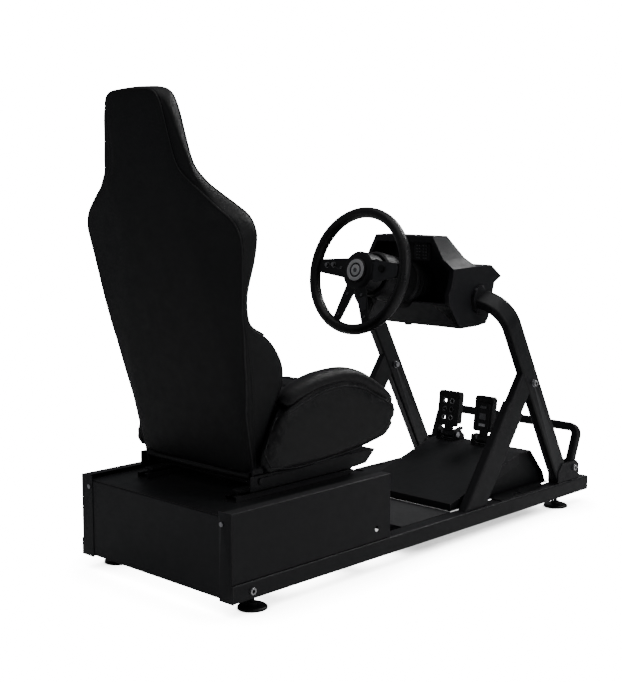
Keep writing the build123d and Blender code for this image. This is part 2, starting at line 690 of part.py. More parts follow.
with BuildPart() as drive_belt:
    for growth, mode in ((2.0, Mode.ADD), (0.0, Mode.SUBTRACT)):
        with BuildSketch(WHEEL.offset(-PULLEY_AT - 1)):
            with BuildLine():
                CenterArc((0, 0), BIG_R + CLEAR + growth, 0, 360)
                CenterArc((MOTOR_X, 0), SMALL_R + CLEAR + growth, 0, 360)
            make_hull()
        extrude(amount=-(PULLEY_W - 2), mode=mode)
save(drive_belt, "drive_belt")

with BuildPart() as control_board:
    with BuildSketch(WHEEL.offset(-BULKHEAD - 10)):
        with Locations((-80, 54)):
            Rectangle(84, 40)
    extrude(amount=-1.6)
    with BuildSketch(WHEEL.offset(-BULKHEAD - 11.6)):
        with Locations((-100, 54), (-62, 56)):
            Rectangle(20, 20)
    extrude(amount=-9)
    with BuildSketch(WHEEL.offset(-BULKHEAD - 6)):
        with Locations((-80, 54)):
            with GridLocations(76, 32, 2, 2):
                Circle(3)
    extrude(amount=-4)
save(control_board, "control_board")

# casing: the side view of the body, and a raised hood behind the wheel
BODY_SIDE = [(222, 748), (398, 752), (448, 717), (415, 700), (401, 655), (388, 600), (375, 583), (330, 578),
             (255, 577), (203, 647), (199, 678), (211, 701)]
HOOD_SIDE = [(222, 690), (215, HOOD_TOP), (281, HOOD_TOP), (331, 752), (331, 690)]
HOOD_FRONT = [(UNIT_HALF, 690), (UNIT_HALF, 748), (143, 776), (HOOD_HALF, HOOD_TOP)]
SKIN = 3.0
SHROUD_R = 70.0
FASCIA_Y = 283.0


def body_block(inset):
    """The casing's body without its hood, every wall moved in by inset."""
    with BuildPart() as block:
        with BuildSketch(side(inset - UNIT_HALF)):
            with BuildLine():
                Polyline(*BODY_SIDE, close=True)
            make_face()
            if inset:
                offset(amount=-inset, kind=Kind.INTERSECTION, mode=Mode.REPLACE)
        extrude(amount=2 * (UNIT_HALF - inset))
    return block


def hood_block(inset):
    """The hood: its front view and its side view, cut from one block."""
    with BuildPart() as block:
        with BuildSketch(across(200)):
            with BuildLine():
                Polyline(*HOOD_FRONT, *[(-x, z) for x, z in reversed(HOOD_FRONT)], close=True)
            make_face()
            if inset:
                offset(amount=-inset, kind=Kind.INTERSECTION, mode=Mode.REPLACE)
        extrude(amount=-160)
        with BuildSketch(side(-200)):
            with BuildLine():
                Polyline(*HOOD_SIDE, close=True)
            make_face()
            if inset:
                offset(amount=-inset, kind=Kind.INTERSECTION, mode=Mode.REPLACE)
        extrude(amount=400, mode=Mode.INTERSECT)
    return block


WINDOW = [(165, 652), (165, 742), (135, 766), (101, 819)]
with BuildPart() as housing_shell:
    add(body_block(0).part)
    add(hood_block(0).part)
    add(body_block(SKIN).part, mode=Mode.SUBTRACT)
    add(hood_block(SKIN).part, mode=Mode.SUBTRACT)
    with BuildSketch(across(190)):                      # the opening that faces the driver
        with BuildLine():
            Polyline(*WINDOW, *[(-x, z) for x, z in reversed(WINDOW)], close=True)
        make_face()
    extrude(amount=-45, mode=Mode.SUBTRACT)
    with BuildSketch(side(-UNIT_HALF - 5)):             # where the stand's crossbar comes through
        with Locations((BAR_Y, BAR_Z)):
            Circle(40)
    extrude(amount=2 * UNIT_HALF + 10, mode=Mode.SUBTRACT)
    with BuildSketch(WHEEL.offset(-150)):               # round notch that the shroud goes through
        Circle(SHROUD_R + 1)
    extrude(amount=-90, mode=Mode.SUBTRACT)
save(housing_shell, "housing_shell")

with BuildPart() as fascia_cut:
    with BuildSketch(across(FASCIA_Y)):
        with BuildLine():
            Polyline((176.5, 590), (176.5, 744), (141.5, 770), (105, 822), (-105, 822), (-141.5, 770),
                     (-176.5, 744), (-176.5, 590), close=True)
        make_face()
    extrude(amount=-3)
    add(turned([(0, 150), (SHROUD_R, 150), (SHROUD_R, 340), (0, 340)], WHEEL_CENTRE, FORWARD).part,
        mode=Mode.SUBTRACT)
    add(column_cradle.part, mode=Mode.SUBTRACT)
    add(housing_shell.part, mode=Mode.SUBTRACT)
with BuildPart() as fascia:                             # the sheet, without the slivers beside the cradle
    add(fascia_cut.part.solids().sort_by(SortBy.VOLUME)[-1])
save(fascia, "fascia")

PANEL_X = 18.0
with BuildPart() as control_panel:
    with BuildSketch(across(FASCIA_Y)):
        with Locations((PANEL_X, 788)):
            RectangleRounded(58, 50, 6)
    extrude(amount=5)
    with BuildSketch(across(FASCIA_Y - 5)):
        with Locations((PANEL_X, 788)):
            with GridLocations(24, 9, 2, 5):
                RectangleRounded(19, 6, 1.5)
    extrude(amount=2.5)
save(control_panel, "control_panel")

RIBS = [(SHROUD_R - 5 * ((k + 1) % 2), 180 + 9 * k) for k in range(8)]
shroud = turned([(52, 56), (60, 56), (66, 64), (66, 176), *RIBS, (SHROUD_R, BULKHEAD - 30),
                        (SHROUD_R, BULKHEAD), (64, BULKHEAD), (64, 150), (60, 70), (52, 66)], WHEEL_CENTRE, FORWARD)

LEVER_PIVOT = on_column(0, -75, 74)
pivot_y, pivot_z = LEVER_PIVOT[1:]
with BuildPart() as column_shroud:                      # the turned shroud with the lever's two lugs
    add(shroud.part)
    for x0 in (7.5, -10.5):
        with BuildSketch(side(x0)):
            with Locations((pivot_y, pivot_z)):
                Circle(8)
            with BuildLine():
                Polyline((pivot_y - 8, pivot_z), (pivot_y - 10, pivot_z + 12), (pivot_y + 12, pivot_z + 8),
                         (pivot_y + 8, pivot_z), close=True)
            make_face()
        extrude(amount=3)
    with BuildSketch(side(-10.5)):
        with Locations((pivot_y, pivot_z)):
            Circle(3)
    extrude(amount=21)
save(column_shroud, "column_shroud")

with BuildPart() as tilt_lever:
    with BuildSketch(side(-6.5)):
        with BuildLine():
            Polyline((pivot_y - 8, pivot_z), (pivot_y + 8, pivot_z), (pivot_y - 22, 606), (pivot_y - 30, 604),
                     close=True)
        make_face()
        with Locations((pivot_y, pivot_z)):
            Circle(8)
    extrude(amount=13)
    fillet(tilt_lever.faces().sort_by(Axis.X)[-1].edges(), 2)
    fillet(tilt_lever.faces().sort_by(Axis.X)[0].edges(), 2)
    with BuildSketch(side(-7)):
        with Locations((pivot_y, pivot_z)):
            Circle(3 + CLEAR)
    extrude(amount=14, mode=Mode.SUBTRACT)
save(tilt_lever, "tilt_lever")

# ------------------------------------------------------------------ steering wheel
with BuildPart() as wheel_spokes:
    with BuildSketch(WHEEL.offset(-3)):
        Circle(55)
        with BuildLine():
            Polyline((40, 34), (160, 25), (160, -11), (40, -24), close=True)
        make_face()
        with BuildLine():
            Polyline((-40, 34), (-160, 25), (-160, -11), (-40, -24), close=True)
        make_face()
        for out, up in ((sin(SPOKE_SPREAD), cos(SPOKE_SPREAD)), (-sin(SPOKE_SPREAD), cos(SPOKE_SPREAD))):
            with BuildLine():                           # a lower spoke, (across, down) turned by the spread
                Polyline(*[(u * up + v * out, u * out - v * up)
                           for u, v in ((-19, 40), (-12, 160), (12, 160), (19, 40))], close=True)
            make_face()
    extrude(amount=6)
    add(turned([(34.2, -3), (34.2, -8), (46, -8), (55, -3)], WHEEL_CENTRE, FORWARD).part)
    add(turned([(SHAFT_R, 3), (55, 3), (55, 46), (50, 50), (SHAFT_R, 50)], WHEEL_CENTRE, FORWARD).part)
    with BuildSketch(WHEEL.offset(-10)):
        with Locations((-96, 12), (-120, 10)):
            Circle(6 + CLEAR)
        with Locations((88, 10)):
            Circle(11 + CLEAR)
    extrude(amount=20, mode=Mode.SUBTRACT)
save(wheel_spokes, "wheel_spokes")

with BuildPart() as wheel_rim:
    with BuildSketch(Plane(origin=WHEEL_CENTRE, x_dir=(1, 0, 0), z_dir=WHEEL.y_dir)):
        with Locations((WHEEL_R - RIM_R, 0)):
            Ellipse(RIM_R, RIM_R + 2)
    revolve(axis=Axis(WHEEL_CENTRE, FORWARD))
    add(wheel_spokes.part, mode=Mode.SUBTRACT)
save(wheel_rim, "wheel_rim")

horn = [(0, -6), (34, -6), (34, -11), (31, -14), (22, -14), (21, -12), (0, -12)]
horn_button = turned(horn, WHEEL_CENTRE, FORWARD)
save(horn_button, "horn_button")

for name, x, up, radius in (("upper", -96, 12, 6), ("outer", -120, 10, 6), ("right", 88, 10, 11)):
    knob = [(0, 2), (radius, 2), (radius, -6), (radius - 1, -7), (0, -7)]
    save(turned(knob, on_column(x, up, 0), FORWARD), f"wheel_button_{name}")
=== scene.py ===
"""The looks of the sit-down racing rig: padded seat, wheel, pedals, finishes, light and camera."""
import json
import math

import bmesh
import bpy
from mathutils import Matrix, Vector
from mathutils.bvhtree import BVHTree


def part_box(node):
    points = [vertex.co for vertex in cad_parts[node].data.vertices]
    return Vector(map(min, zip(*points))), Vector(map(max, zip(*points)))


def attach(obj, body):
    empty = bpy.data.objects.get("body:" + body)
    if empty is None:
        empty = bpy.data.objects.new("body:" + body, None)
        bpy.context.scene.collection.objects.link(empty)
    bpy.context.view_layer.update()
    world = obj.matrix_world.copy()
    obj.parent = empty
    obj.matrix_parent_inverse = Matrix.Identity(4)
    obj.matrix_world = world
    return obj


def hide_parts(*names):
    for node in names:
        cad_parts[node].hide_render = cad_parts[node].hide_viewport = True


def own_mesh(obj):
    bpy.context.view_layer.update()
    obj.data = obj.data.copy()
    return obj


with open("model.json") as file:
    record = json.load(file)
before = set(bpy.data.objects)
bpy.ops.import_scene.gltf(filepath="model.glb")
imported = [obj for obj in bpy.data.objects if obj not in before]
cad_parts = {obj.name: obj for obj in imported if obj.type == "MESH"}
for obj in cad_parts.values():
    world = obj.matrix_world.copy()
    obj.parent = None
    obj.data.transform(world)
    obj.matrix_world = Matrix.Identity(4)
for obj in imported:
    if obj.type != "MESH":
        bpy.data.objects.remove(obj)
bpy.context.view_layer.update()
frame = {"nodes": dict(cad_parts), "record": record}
scene = bpy.context.scene
MM = 0.001
WHITE_OUT = 18.0                        # strength at which the backdrop and the floor show as plain white


# ------------------------------------------------------------------ camera, floor and light
camera_data = bpy.data.cameras.new("photo_camera")
camera_data.sensor_width = 36.0
camera_data.lens = 67.05
camera_data.clip_end = 60.0
camera = bpy.data.objects.new("photo_camera", camera_data)
camera.location = (2.36816, -2.61394, 1.02334)
camera.rotation_euler = (math.radians(90 - 7.643), 0, math.radians(44.094))
scene.collection.objects.link(camera)
scene.camera = camera


def add_node(tree, kind, **values):
    """A shader node with its sockets and properties set by name."""
    made = tree.nodes.new(kind)
    for key in [k for k in values if k[0].islower()]:
        setattr(made, key, values[key])
    for key in [k for k in values if k[0].isupper()]:
        made.inputs[key].default_value = values[key]
    return made


def socket(node, name):
    """An input by name, the last of that name, which a Mix node's colours need."""
    return [s for s in node.inputs if s.name == name and s.enabled][-1]


world = bpy.data.worlds.new("studio")
scene.world = world
world.use_nodes = True
sky = world.node_tree
backdrop = sky.nodes["Background"]
backdrop.inputs["Color"].default_value = (1, 1, 1, 1)
backdrop.inputs["Strength"].default_value = WHITE_OUT
ambient = add_node(sky, "ShaderNodeBackground", Color=(0.93, 0.95, 1.0, 1), Strength=0.11)
seen = add_node(sky, "ShaderNodeLightPath")
choose = add_node(sky, "ShaderNodeMixShader")
sky.links.new(seen.outputs["Is Camera Ray"], choose.inputs[0])
sky.links.new(ambient.outputs[0], choose.inputs[1])
sky.links.new(backdrop.outputs[0], choose.inputs[2])
sky.links.new(choose.outputs[0], sky.nodes["World Output"].inputs["Surface"])


def area_light(name, place, target, size, power):
    """A soft rectangular lamp that faces its target."""
    lamp = bpy.data.lights.new(name, "AREA")
    lamp.shape = "RECTANGLE"
    lamp.size, lamp.size_y = size
    lamp.energy = power
    made = bpy.data.objects.new(name, lamp)
    made.location = place
    made.rotation_mode = "QUATERNION"
    made.rotation_quaternion = (Vector(target) - Vector(place)).to_track_quat("-Z", "Y")
    scene.collection.objects.link(made)


area_light("top_softbox", (0.3, 0.2, 3.6), (0, 0, 0.4), (2.6, 2.6), 15)
area_light("right_softbox", (3.4, 0.9, 1.9), (0, 0, 0.6), (0.55, 1.5), 14)
area_light("front_softbox", (0.2, 2.7, 2.9), (0, 0, 0.6), (1.2, 0.5), 34)
area_light("rear_softbox", (0.4, -3.6, 1.7), (0, -0.3, 0.5), (2.2, 1.6), 5)

floor_mesh = bpy.data.meshes.new("floor")
floor_mesh.from_pydata([(-14, -14, 0), (14, -14, 0), (14, 14, 0), (-14, 14, 0)], [], [(0, 1, 2, 3)])
floor = bpy.data.objects.new("floor", floor_mesh)
scene.collection.objects.link(floor)
floor_finish = bpy.data.materials.new("floor_white")
floor_finish.use_nodes = True
ground = floor_finish.node_tree
matt = ground.nodes["Principled BSDF"]
matt.inputs["Base Color"].default_value = (0.85, 0.85, 0.85, 1)
matt.inputs["Roughness"].default_value = 0.8
# Painted shadow: camera rays see the floor as a white glow, dimmed by ambient occlusion near the rig into a soft
# contact shadow.
contact_shadow_ao = add_node(ground, "ShaderNodeAmbientOcclusion", Distance=0.16)
shade = add_node(ground, "ShaderNodeMapRange")
ground.links.new(contact_shadow_ao.outputs["AO"], shade.inputs["Value"])
shade.inputs["From Min"].default_value = 0.25
shade.inputs["From Max"].default_value = 0.95
shade.inputs["To Min"].default_value = 0.9
shade.inputs["To Max"].default_value = WHITE_OUT
white = add_node(ground, "ShaderNodeEmission")
ground.links.new(shade.outputs["Result"], white.inputs["Strength"])
floor_seen = add_node(ground, "ShaderNodeLightPath")
floor_mix = add_node(ground, "ShaderNodeMixShader")
ground.links.new(floor_seen.outputs["Is Camera Ray"], floor_mix.inputs[0])
ground.links.new(matt.outputs[0], floor_mix.inputs[1])
ground.links.new(white.outputs[0], floor_mix.inputs[2])
ground.links.new(floor_mix.outputs[0], ground.nodes["Material Output"].inputs["Surface"])
floor_mesh.materials.append(floor_finish)


# ------------------------------------------------------------------ finishes
def finish_of(name, colour, rough, metal=0.0, specular=0.3, grain=None, size=700.0, depth=0.15, mottle=0.2,
              smudge=0.07, edge=0.0, coat=0.0):
    """A procedural finish. Grain is paint, leather, moulded or brushed, its size in cells per metre; any other
    grain is drawn as paint.
    """
    made = bpy.data.materials.new(name)
    made.use_nodes = True
    tree = made.node_tree
    link = tree.links.new
    shader = tree.nodes["Principled BSDF"]
    shader.inputs["Metallic"].default_value = metal
    shader.inputs["Specular IOR Level"].default_value = specular
    shader.inputs["Coat Weight"].default_value = coat
    shader.inputs["Coat Roughness"].default_value = 0.25
    place = add_node(tree, "ShaderNodeTexCoord").outputs["Object"]

    cloud = add_node(tree, "ShaderNodeTexNoise", Scale=7.0, Detail=6.0, Roughness=0.62)
    link(place, cloud.inputs["Vector"])
    tint = add_node(tree, "ShaderNodeMix", data_type="RGBA")
    link(cloud.outputs["Fac"], tint.inputs[0])
    socket(tint, "A").default_value = (*[c * (1 - mottle) for c in colour], 1)
    socket(tint, "B").default_value = (*[c * (1 + mottle) for c in colour], 1)
    colour_out = tint.outputs[2]

    haze = add_node(tree, "ShaderNodeTexNoise", Scale=31.0, Detail=8.0, Roughness=0.7)
    link(place, haze.inputs["Vector"])
    polish = add_node(tree, "ShaderNodeMapRange")
    link(haze.outputs["Fac"], polish.inputs["Value"])
    polish.inputs["From Min"].default_value = 0.3
    polish.inputs["From Max"].default_value = 0.7
    polish.inputs["To Min"].default_value = rough - smudge
    polish.inputs["To Max"].default_value = rough + smudge
    link(polish.outputs["Result"], shader.inputs["Roughness"])

    # Edges lightened to grey where pointiness is high: partly edge wear, partly a painted highlight along the
    # bevels.
    if edge:
        edge_sharpness = add_node(tree, "ShaderNodeNewGeometry")
        edges = add_node(tree, "ShaderNodeMapRange")
        link(edge_sharpness.outputs["Pointiness"], edges.inputs["Value"])
        edges.inputs["From Min"].default_value = 0.53
        edges.inputs["From Max"].default_value = 0.66
        edges.inputs["To Max"].default_value = edge
        edge_wear_and_highlight = add_node(tree, "ShaderNodeMix", data_type="RGBA")
        link(edges.outputs["Result"], edge_wear_and_highlight.inputs[0])
        link(colour_out, socket(edge_wear_and_highlight, "A"))
        socket(edge_wear_and_highlight, "B").default_value = (0.16, 0.16, 0.165, 1)
        colour_out = edge_wear_and_highlight.outputs[2]
    link(colour_out, shader.inputs["Base Color"])

    if grain == "leather":
        cells = add_node(tree, "ShaderNodeTexVoronoi", feature="DISTANCE_TO_EDGE", Scale=size)
        warp = add_node(tree, "ShaderNodeTexNoise", Scale=size * 0.35, Detail=3.0)
        link(place, warp.inputs["Vector"])
        shift = add_node(tree, "ShaderNodeVectorMath", operation="MULTIPLY_ADD")
        link(warp.outputs["Color"], shift.inputs[0])
        shift.inputs[1].default_value = (0.0014, 0.0014, 0.0014)
        link(place, shift.inputs[2])
        link(shift.outputs[0], cells.inputs["Vector"])
        ridge = add_node(tree, "ShaderNodeMapRange")
        link(cells.outputs["Distance"], ridge.inputs["Value"])
        ridge.inputs["From Max"].default_value = 0.22
        creases = add_node(tree, "ShaderNodeTexNoise", Scale=46.0, Detail=4.0, Distortion=0.6)
        link(place, creases.inputs["Vector"])
        height = add_node(tree, "ShaderNodeMath", operation="MULTIPLY_ADD")
        link(creases.outputs["Fac"], height.inputs[0])
        height.inputs[1].default_value = 1.6
        link(ridge.outputs["Result"], height.inputs[2])
        relief = height.outputs[0]
    elif grain == "brushed":
        stretch = add_node(tree, "ShaderNodeMapping")
        stretch.inputs["Scale"].default_value = (size, size * 0.06, size)
        link(place, stretch.inputs["Vector"])
        lines = add_node(tree, "ShaderNodeTexNoise", Scale=1.0, Detail=3.0)
        link(stretch.outputs["Vector"], lines.inputs["Vector"])
        relief = lines.outputs["Fac"]
    elif grain == "moulded":
        pits = add_node(tree, "ShaderNodeTexVoronoi", Scale=size, Smoothness=0.4, feature="SMOOTH_F1")
        link(place, pits.inputs["Vector"])
        relief = pits.outputs["Distance"]
    else:
        peel = add_node(tree, "ShaderNodeTexNoise", Scale=size, Detail=3.0, Roughness=0.55)
        link(place, peel.inputs["Vector"])
        relief = peel.outputs["Fac"]
    bump = add_node(tree, "ShaderNodeBump", Strength=depth, Distance=0.0006)
    link(relief, bump.inputs["Height"])
    link(bump.outputs["Normal"], shader.inputs["Normal"])
    return made


FINISH = {
    "frame_black": finish_of("frame_black", (0.013, 0.013, 0.015), 0.42, specular=0.42, grain="paint", size=900,
                             depth=0.35, edge=0.7),
    "sheet_black": finish_of("sheet_black", (0.014, 0.014, 0.016), 0.44, specular=0.4, grain="paint", size=900,
                             depth=0.35, edge=0.6),
    "casing_black": finish_of("casing_black", (0.014, 0.014, 0.017), 0.46, specular=0.42, grain="moulded",
                              size=1100, depth=0.3, edge=0.5),
    "vinyl_black": finish_of("vinyl_black", (0.006, 0.006, 0.0068), 0.36, specular=0.42, grain="leather", size=620,
                             depth=0.32, mottle=0.12),
    "shell_black": finish_of("shell_black", (0.006, 0.006, 0.007), 0.42, specular=0.34, grain="leather",
                             size=620, depth=0.3, mottle=0.12),
    "plastic_black": finish_of("plastic_black", (0.011, 0.011, 0.012), 0.42, specular=0.4, grain="moulded",
                               size=1400, depth=0.25),
    "panel_grey": finish_of("panel_grey", (0.055, 0.056, 0.06), 0.5, specular=0.4, grain="moulded", size=1400,
                            depth=0.2),
    "rim_leather": finish_of("rim_leather", (0.007, 0.007, 0.0078), 0.30, specular=0.6, grain="leather", size=900,
                             depth=0.22, mottle=0.12),
    "spoke_black": finish_of("spoke_black", (0.016, 0.016, 0.018), 0.36, specular=0.45, grain="brushed",
                             size=1500, depth=0.12, edge=0.6),
    "zinc_steel": finish_of("zinc_steel", (0.52, 0.52, 0.54), 0.3, metal=1.0, specular=0.5, grain="brushed",
                            size=1600, depth=0.12),
    "pedal_metal": finish_of("pedal_metal", (0.018, 0.018, 0.02), 0.38, specular=0.45, grain="paint", size=800,
                             depth=0.25, edge=0.8),
    "cast_aluminium": finish_of("cast_aluminium", (0.42, 0.42, 0.43), 0.46, metal=1.0, specular=0.5,
                                grain="paint", size=600, depth=0.4),
    "belt_rubber": finish_of("belt_rubber", (0.013, 0.013, 0.013), 0.68, specular=0.3, grain="moulded", size=1500,
                             depth=0.3),
    "board_green": finish_of("board_green", (0.012, 0.07, 0.03), 0.4, specular=0.5, grain="paint", size=500,
                             depth=0.1),
}
THREAD = finish_of("thread_grey", (0.07, 0.07, 0.075), 0.7, specular=0.2, grain="brushed", size=2500, depth=0.4)
PIPING = finish_of("piping_vinyl", (0.016, 0.016, 0.018), 0.33, specular=0.5, grain="leather", size=900, depth=0.2)
BRIGHT = finish_of("bright_ring", (0.72, 0.72, 0.73), 0.24, metal=1.0, specular=0.5, grain="brushed", size=1800,
                   depth=0.1)
BADGE = finish_of("badge_silver", (0.82, 0.82, 0.83), 0.38, specular=0.6, grain="brushed", size=1800, depth=0.1)
MARKS = finish_of("marks_grey", (0.30, 0.30, 0.31), 0.5, specular=0.4, grain="paint", size=900, depth=0.1)
# near-black finish for the painted shade of the bolt sockets
SOCKET_SHADE = finish_of("painted_socket_shade", (0.004, 0.004, 0.004), 0.6, specular=0.2, grain="paint", size=900, depth=0.1)
LIGHT_STEEL = finish_of("plain_steel", (0.24, 0.24, 0.25), 0.42, metal=1.0, specular=0.5, grain="brushed",
                        size=1400, depth=0.15)

slot_of = {part["node"]: part["material_slot"] for part in frame["record"]["subparts"]}
ROUNDED = {"zinc_steel": 0.4, "board_green": 0.2, "belt_rubber": 0.2, "cast_aluminium": 0.5}
for node_name, cad_object in frame["nodes"].items():
    slot_name = slot_of[node_name]
    cad_object.data.materials.clear()
    cad_object.data.materials.append(FINISH[slot_name])
    weld = cad_object.modifiers.new("weld", "WELD")
    weld.merge_threshold = 0.00002
    bevel = cad_object.modifiers.new("edges", "BEVEL")
    bevel.width = ROUNDED.get(slot_name, 0.7) * MM
    bevel.segments = 2
    bevel.limit_method = "ANGLE"
    bevel.angle_limit = math.radians(40)
    bevel.harden_normals = False
    for polygon in cad_object.data.polygons:
        polygon.use_smooth = True
    smooth = cad_object.modifiers.new("shade", "WEIGHTED_NORMAL")
    smooth.keep_sharp = False


# ------------------------------------------------------------------ mesh helpers
def piece(name, mesh_or_data, finish, body, smooth=True):
    """A finished piece from (points, faces) or a mesh, that rides on its body."""
    if isinstance(mesh_or_data, bpy.types.Mesh):
        mesh = mesh_or_data
    else:
        mesh = bpy.data.meshes.new(name)
        mesh.from_pydata([tuple(p) for p in mesh_or_data[0]], [], mesh_or_data[1])
    mesh.materials.clear()
    mesh.materials.append(finish)
    for polygon in mesh.polygons:
        polygon.use_smooth = smooth
    made = bpy.data.objects.new(name, mesh)
    scene.collection.objects.link(made)
    if body:
        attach(made, body)
    return made


def subdivide(made, levels=1):
    """Catmull-Clark smoothing as a modifier."""
    smoothing = made.modifiers.new("smooth", "SUBSURF")
    smoothing.levels = levels
    smoothing.render_levels = levels
    return made


def outward(points, faces):
    """Faces turned so that their normals point out, and doubled points merged."""
    work = bmesh.new()
    corners = [work.verts.new(p) for p in points]
    for face in faces:
        around = list(dict.fromkeys(face))
        if len(around) > 2:
            try:
                work.faces.new([corners[i] for i in around])
            except ValueError:
                pass
    bmesh.ops.remove_doubles(work, verts=work.verts, dist=0.0002)
    bmesh.ops.recalc_face_normals(work, faces=work.faces)
    mesh = bpy.data.meshes.new("shape")
    work.to_mesh(mesh)
    work.free()
    return mesh


def grid_faces(rows, columns, wrap_rows=False, wrap_columns=False):
    """Quads between rows x columns of points."""
    faces = []
    for i in range(rows if wrap_rows else rows - 1):
        for j in range(columns if wrap_columns else columns - 1):
            a, b = i * columns, ((i + 1) % rows) * columns
            k = (j + 1) % columns
            faces.append((a + j, a + k, b + k, b + j))
    return faces


def closed_faces(rows, columns):
    """Quads round rows of closed rings, with a face over each end."""
    faces = grid_faces(rows, columns, wrap_columns=True)
    faces.append(tuple(range(columns)))
    faces.append(tuple(reversed(range((rows - 1) * columns, rows * columns))))
    return faces


def smooth_rows(rows, parts):
    """Catmull-Rom rows of numbers between the given rows, each span cut into parts."""
    out = []
    for i in range(len(rows) - 1):
        p0, p1, p2, p3 = rows[max(i - 1, 0)], rows[i], rows[i + 1], rows[min(i + 2, len(rows) - 1)]
        for k in range(parts):
            t = k / parts
            out.append([0.5 * (2 * b + (c - a) * t + (2 * a - 5 * b + 4 * c - d) * t * t
                               + (3 * b - a - 3 * c + d) * t ** 3) for a, b, c, d in zip(p0, p1, p2, p3)])
    out.append(list(rows[-1]))
    return out


def tube(name, points, radius, finish, body, closed=False, sides=3):
    """A round cord of vinyl or wire along points, as a curve with a round section."""
    data = bpy.data.curves.new(name, "CURVE")
    data.dimensions = "3D"
    data.bevel_depth = radius
    data.bevel_resolution = sides
    data.use_fill_caps = True
    spline = data.splines.new("POLY")
    spline.points.add(len(points) - 1)
    for spot, p in zip(spline.points, points):
        spot.co = (*p, 1)
    spline.use_cyclic_u = closed
    spline.use_smooth = True
    data.materials.append(finish)
    made = bpy.data.objects.new(name, data)
    scene.collection.objects.link(made)
    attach(made, body)
    return made


def along(points, step):
    """Places spaced evenly by step along a line of points, each with its direction."""
    out, left = [], 0.0
    for a, b in zip(points, points[1:]):
        a, b = Vector(a), Vector(b)
        long = (b - a).length
        if long < 1e-9:
            continue
        here = left
        while here < long:
            out.append((a + (b - a) * (here / long), (b - a) / long))
            here += step
        left = here - long
    return out


def stitches(name, points, up_at, finish, body, step=0.0052, long=0.0034, thick=0.00055, lean=0.0):
    """A row of short stitches along points. up_at gives the outward direction at a place."""
    verts, faces = [], []
    for place, direction in along(points, step):
        up = up_at(place).normalized()
        aside = direction.cross(up).normalized()
        if lean:
            direction = (direction + aside * lean).normalized()
            aside = direction.cross(up).normalized()
        first = len(verts)
        rings = ((-0.5, 0.35), (-0.3, 1.0), (0.3, 1.0), (0.5, 0.35))
        for at, swell in rings:
            for k in range(6):
                turn = math.pi * k / 3
                verts.append(place + direction * (at * long)
                             + (aside * math.cos(turn) + up * math.sin(turn)) * (thick * swell))
        for r in range(3):
            for k in range(6):
                a, b = first + r * 6 + k, first + r * 6 + (k + 1) % 6
                faces.append((a, b, b + 6, a + 6))
        faces.append(tuple(first + k for k in reversed(range(6))))
        faces.append(tuple(first + 18 + k for k in range(6)))
    return piece(name, (verts, faces), finish, body)


def puff(mesh, voxel, pressure, cap, held=None, frames=20):
    """The mesh remeshed and swollen as cloth under pressure. held(point) is true where it stays put."""
    made = bpy.data.objects.new("soft", mesh)
    scene.collection.objects.link(made)
    bpy.context.view_layer.objects.active = made
    made.select_set(True)
    remesh = made.modifiers.new("remesh", "REMESH")
    remesh.mode = "VOXEL"
    remesh.voxel_size = voxel
    bpy.ops.object.modifier_apply(modifier=remesh.name)
    start = [v.co.copy() for v in made.data.vertices]
    if held:
        group = made.vertex_groups.new(name="held")
        group.add([v.index for v in made.data.vertices if held(v.co)], 1.0, "REPLACE")
    cloth = made.modifiers.new("cloth", "CLOTH")
    cloth.settings.quality = 4
    cloth.settings.mass = 0.25
    cloth.settings.tension_stiffness = 18
    cloth.settings.compression_stiffness = 12
    cloth.settings.shear_stiffness = 6
    cloth.settings.bending_stiffness = 0.6
    cloth.settings.use_pressure = True
    cloth.settings.uniform_pressure_force = pressure
    cloth.settings.effector_weights.gravity = 0.0
    cloth.collision_settings.use_collision = False
    cloth.point_cache.frame_start = 1
    cloth.point_cache.frame_end = frames
    if held:
        cloth.settings.vertex_group_mass = "held"
    for step in range(1, frames + 1):
        scene.frame_set(step)
    swollen = made.evaluated_get(bpy.context.evaluated_depsgraph_get())
    moved = [v.co.copy() for v in swollen.data.vertices]
    made.modifiers.remove(cloth)
    scene.frame_set(1)
    for vertex, a, b in zip(made.data.vertices, start, moved):
        shift = b - a
        if shift.length > cap:
            shift *= cap / shift.length
        vertex.co = a + shift
    out = made.data
    bpy.data.objects.remove(made)
    return out


def groove(mesh, distance, normal_of, depth, width):
    """A sewn channel: points near the seam sink by depth. distance(point) is how far a point is from it."""
    for vertex in mesh.vertices:
        d = distance(vertex.co)
        if d < 3 * width:
            vertex.co -= normal_of(vertex.co) * (depth * math.exp(-(d / width) ** 2))


def mirrored(mesh):
    """A copy of the mesh for the other hand."""
    copy = mesh.copy()
    copy.transform(Matrix.Scale(-1, 4, (1, 0, 0)))
    copy.flip_normals()
    return copy


def extruded(outline, x0, x1, inset=0.0):
    """A closed slab from a side outline of (y, z) in mm, between two x in mm."""
    middle = (sum(y for y, z in outline) / len(outline), sum(z for y, z in outline) / len(outline))
    rings = []
    for x, pull in ((x0, inset), (x0 + 6, 0), (x1 - 6, 0), (x1, inset)):
        rings.append([Vector((x, y + (middle[0] - y) * pull, z + (middle[1] - z) * pull)) * MM
                      for y, z in outline])
    return outward([p for ring in rings for p in ring], closed_faces(4, len(outline)))


# ------------------------------------------------------------------ backrest
TILT = math.radians(11.9)
SHELL_TOP, SHELL_FOOT = 0.925, 0.012    # heights of the shell's ends along the rear face
shell_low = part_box("backrest_shell")[0]
BACK_UP = Vector((0, -math.sin(TILT), math.cos(TILT)))
BACK_OUT = Vector((0, math.cos(TILT), math.sin(TILT)))
BACK_FOOT = Vector((0, shell_low.y + SHELL_TOP * math.sin(TILT), shell_low.z - SHELL_FOOT * math.cos(TILT)))


def on_back(x, height, ahead):
    """A point of the backrest in mm: across, up along it, and ahead of its rear face."""
    return BACK_FOOT + Vector((x * MM, 0, 0)) + BACK_UP * (height * MM) + BACK_OUT * (ahead * MM)


def back_place(p):
    """The reverse of on_back."""
    d = p - BACK_FOOT
    return d.x / MM, d.dot(BACK_UP) / MM, d.dot(BACK_OUT) / MM


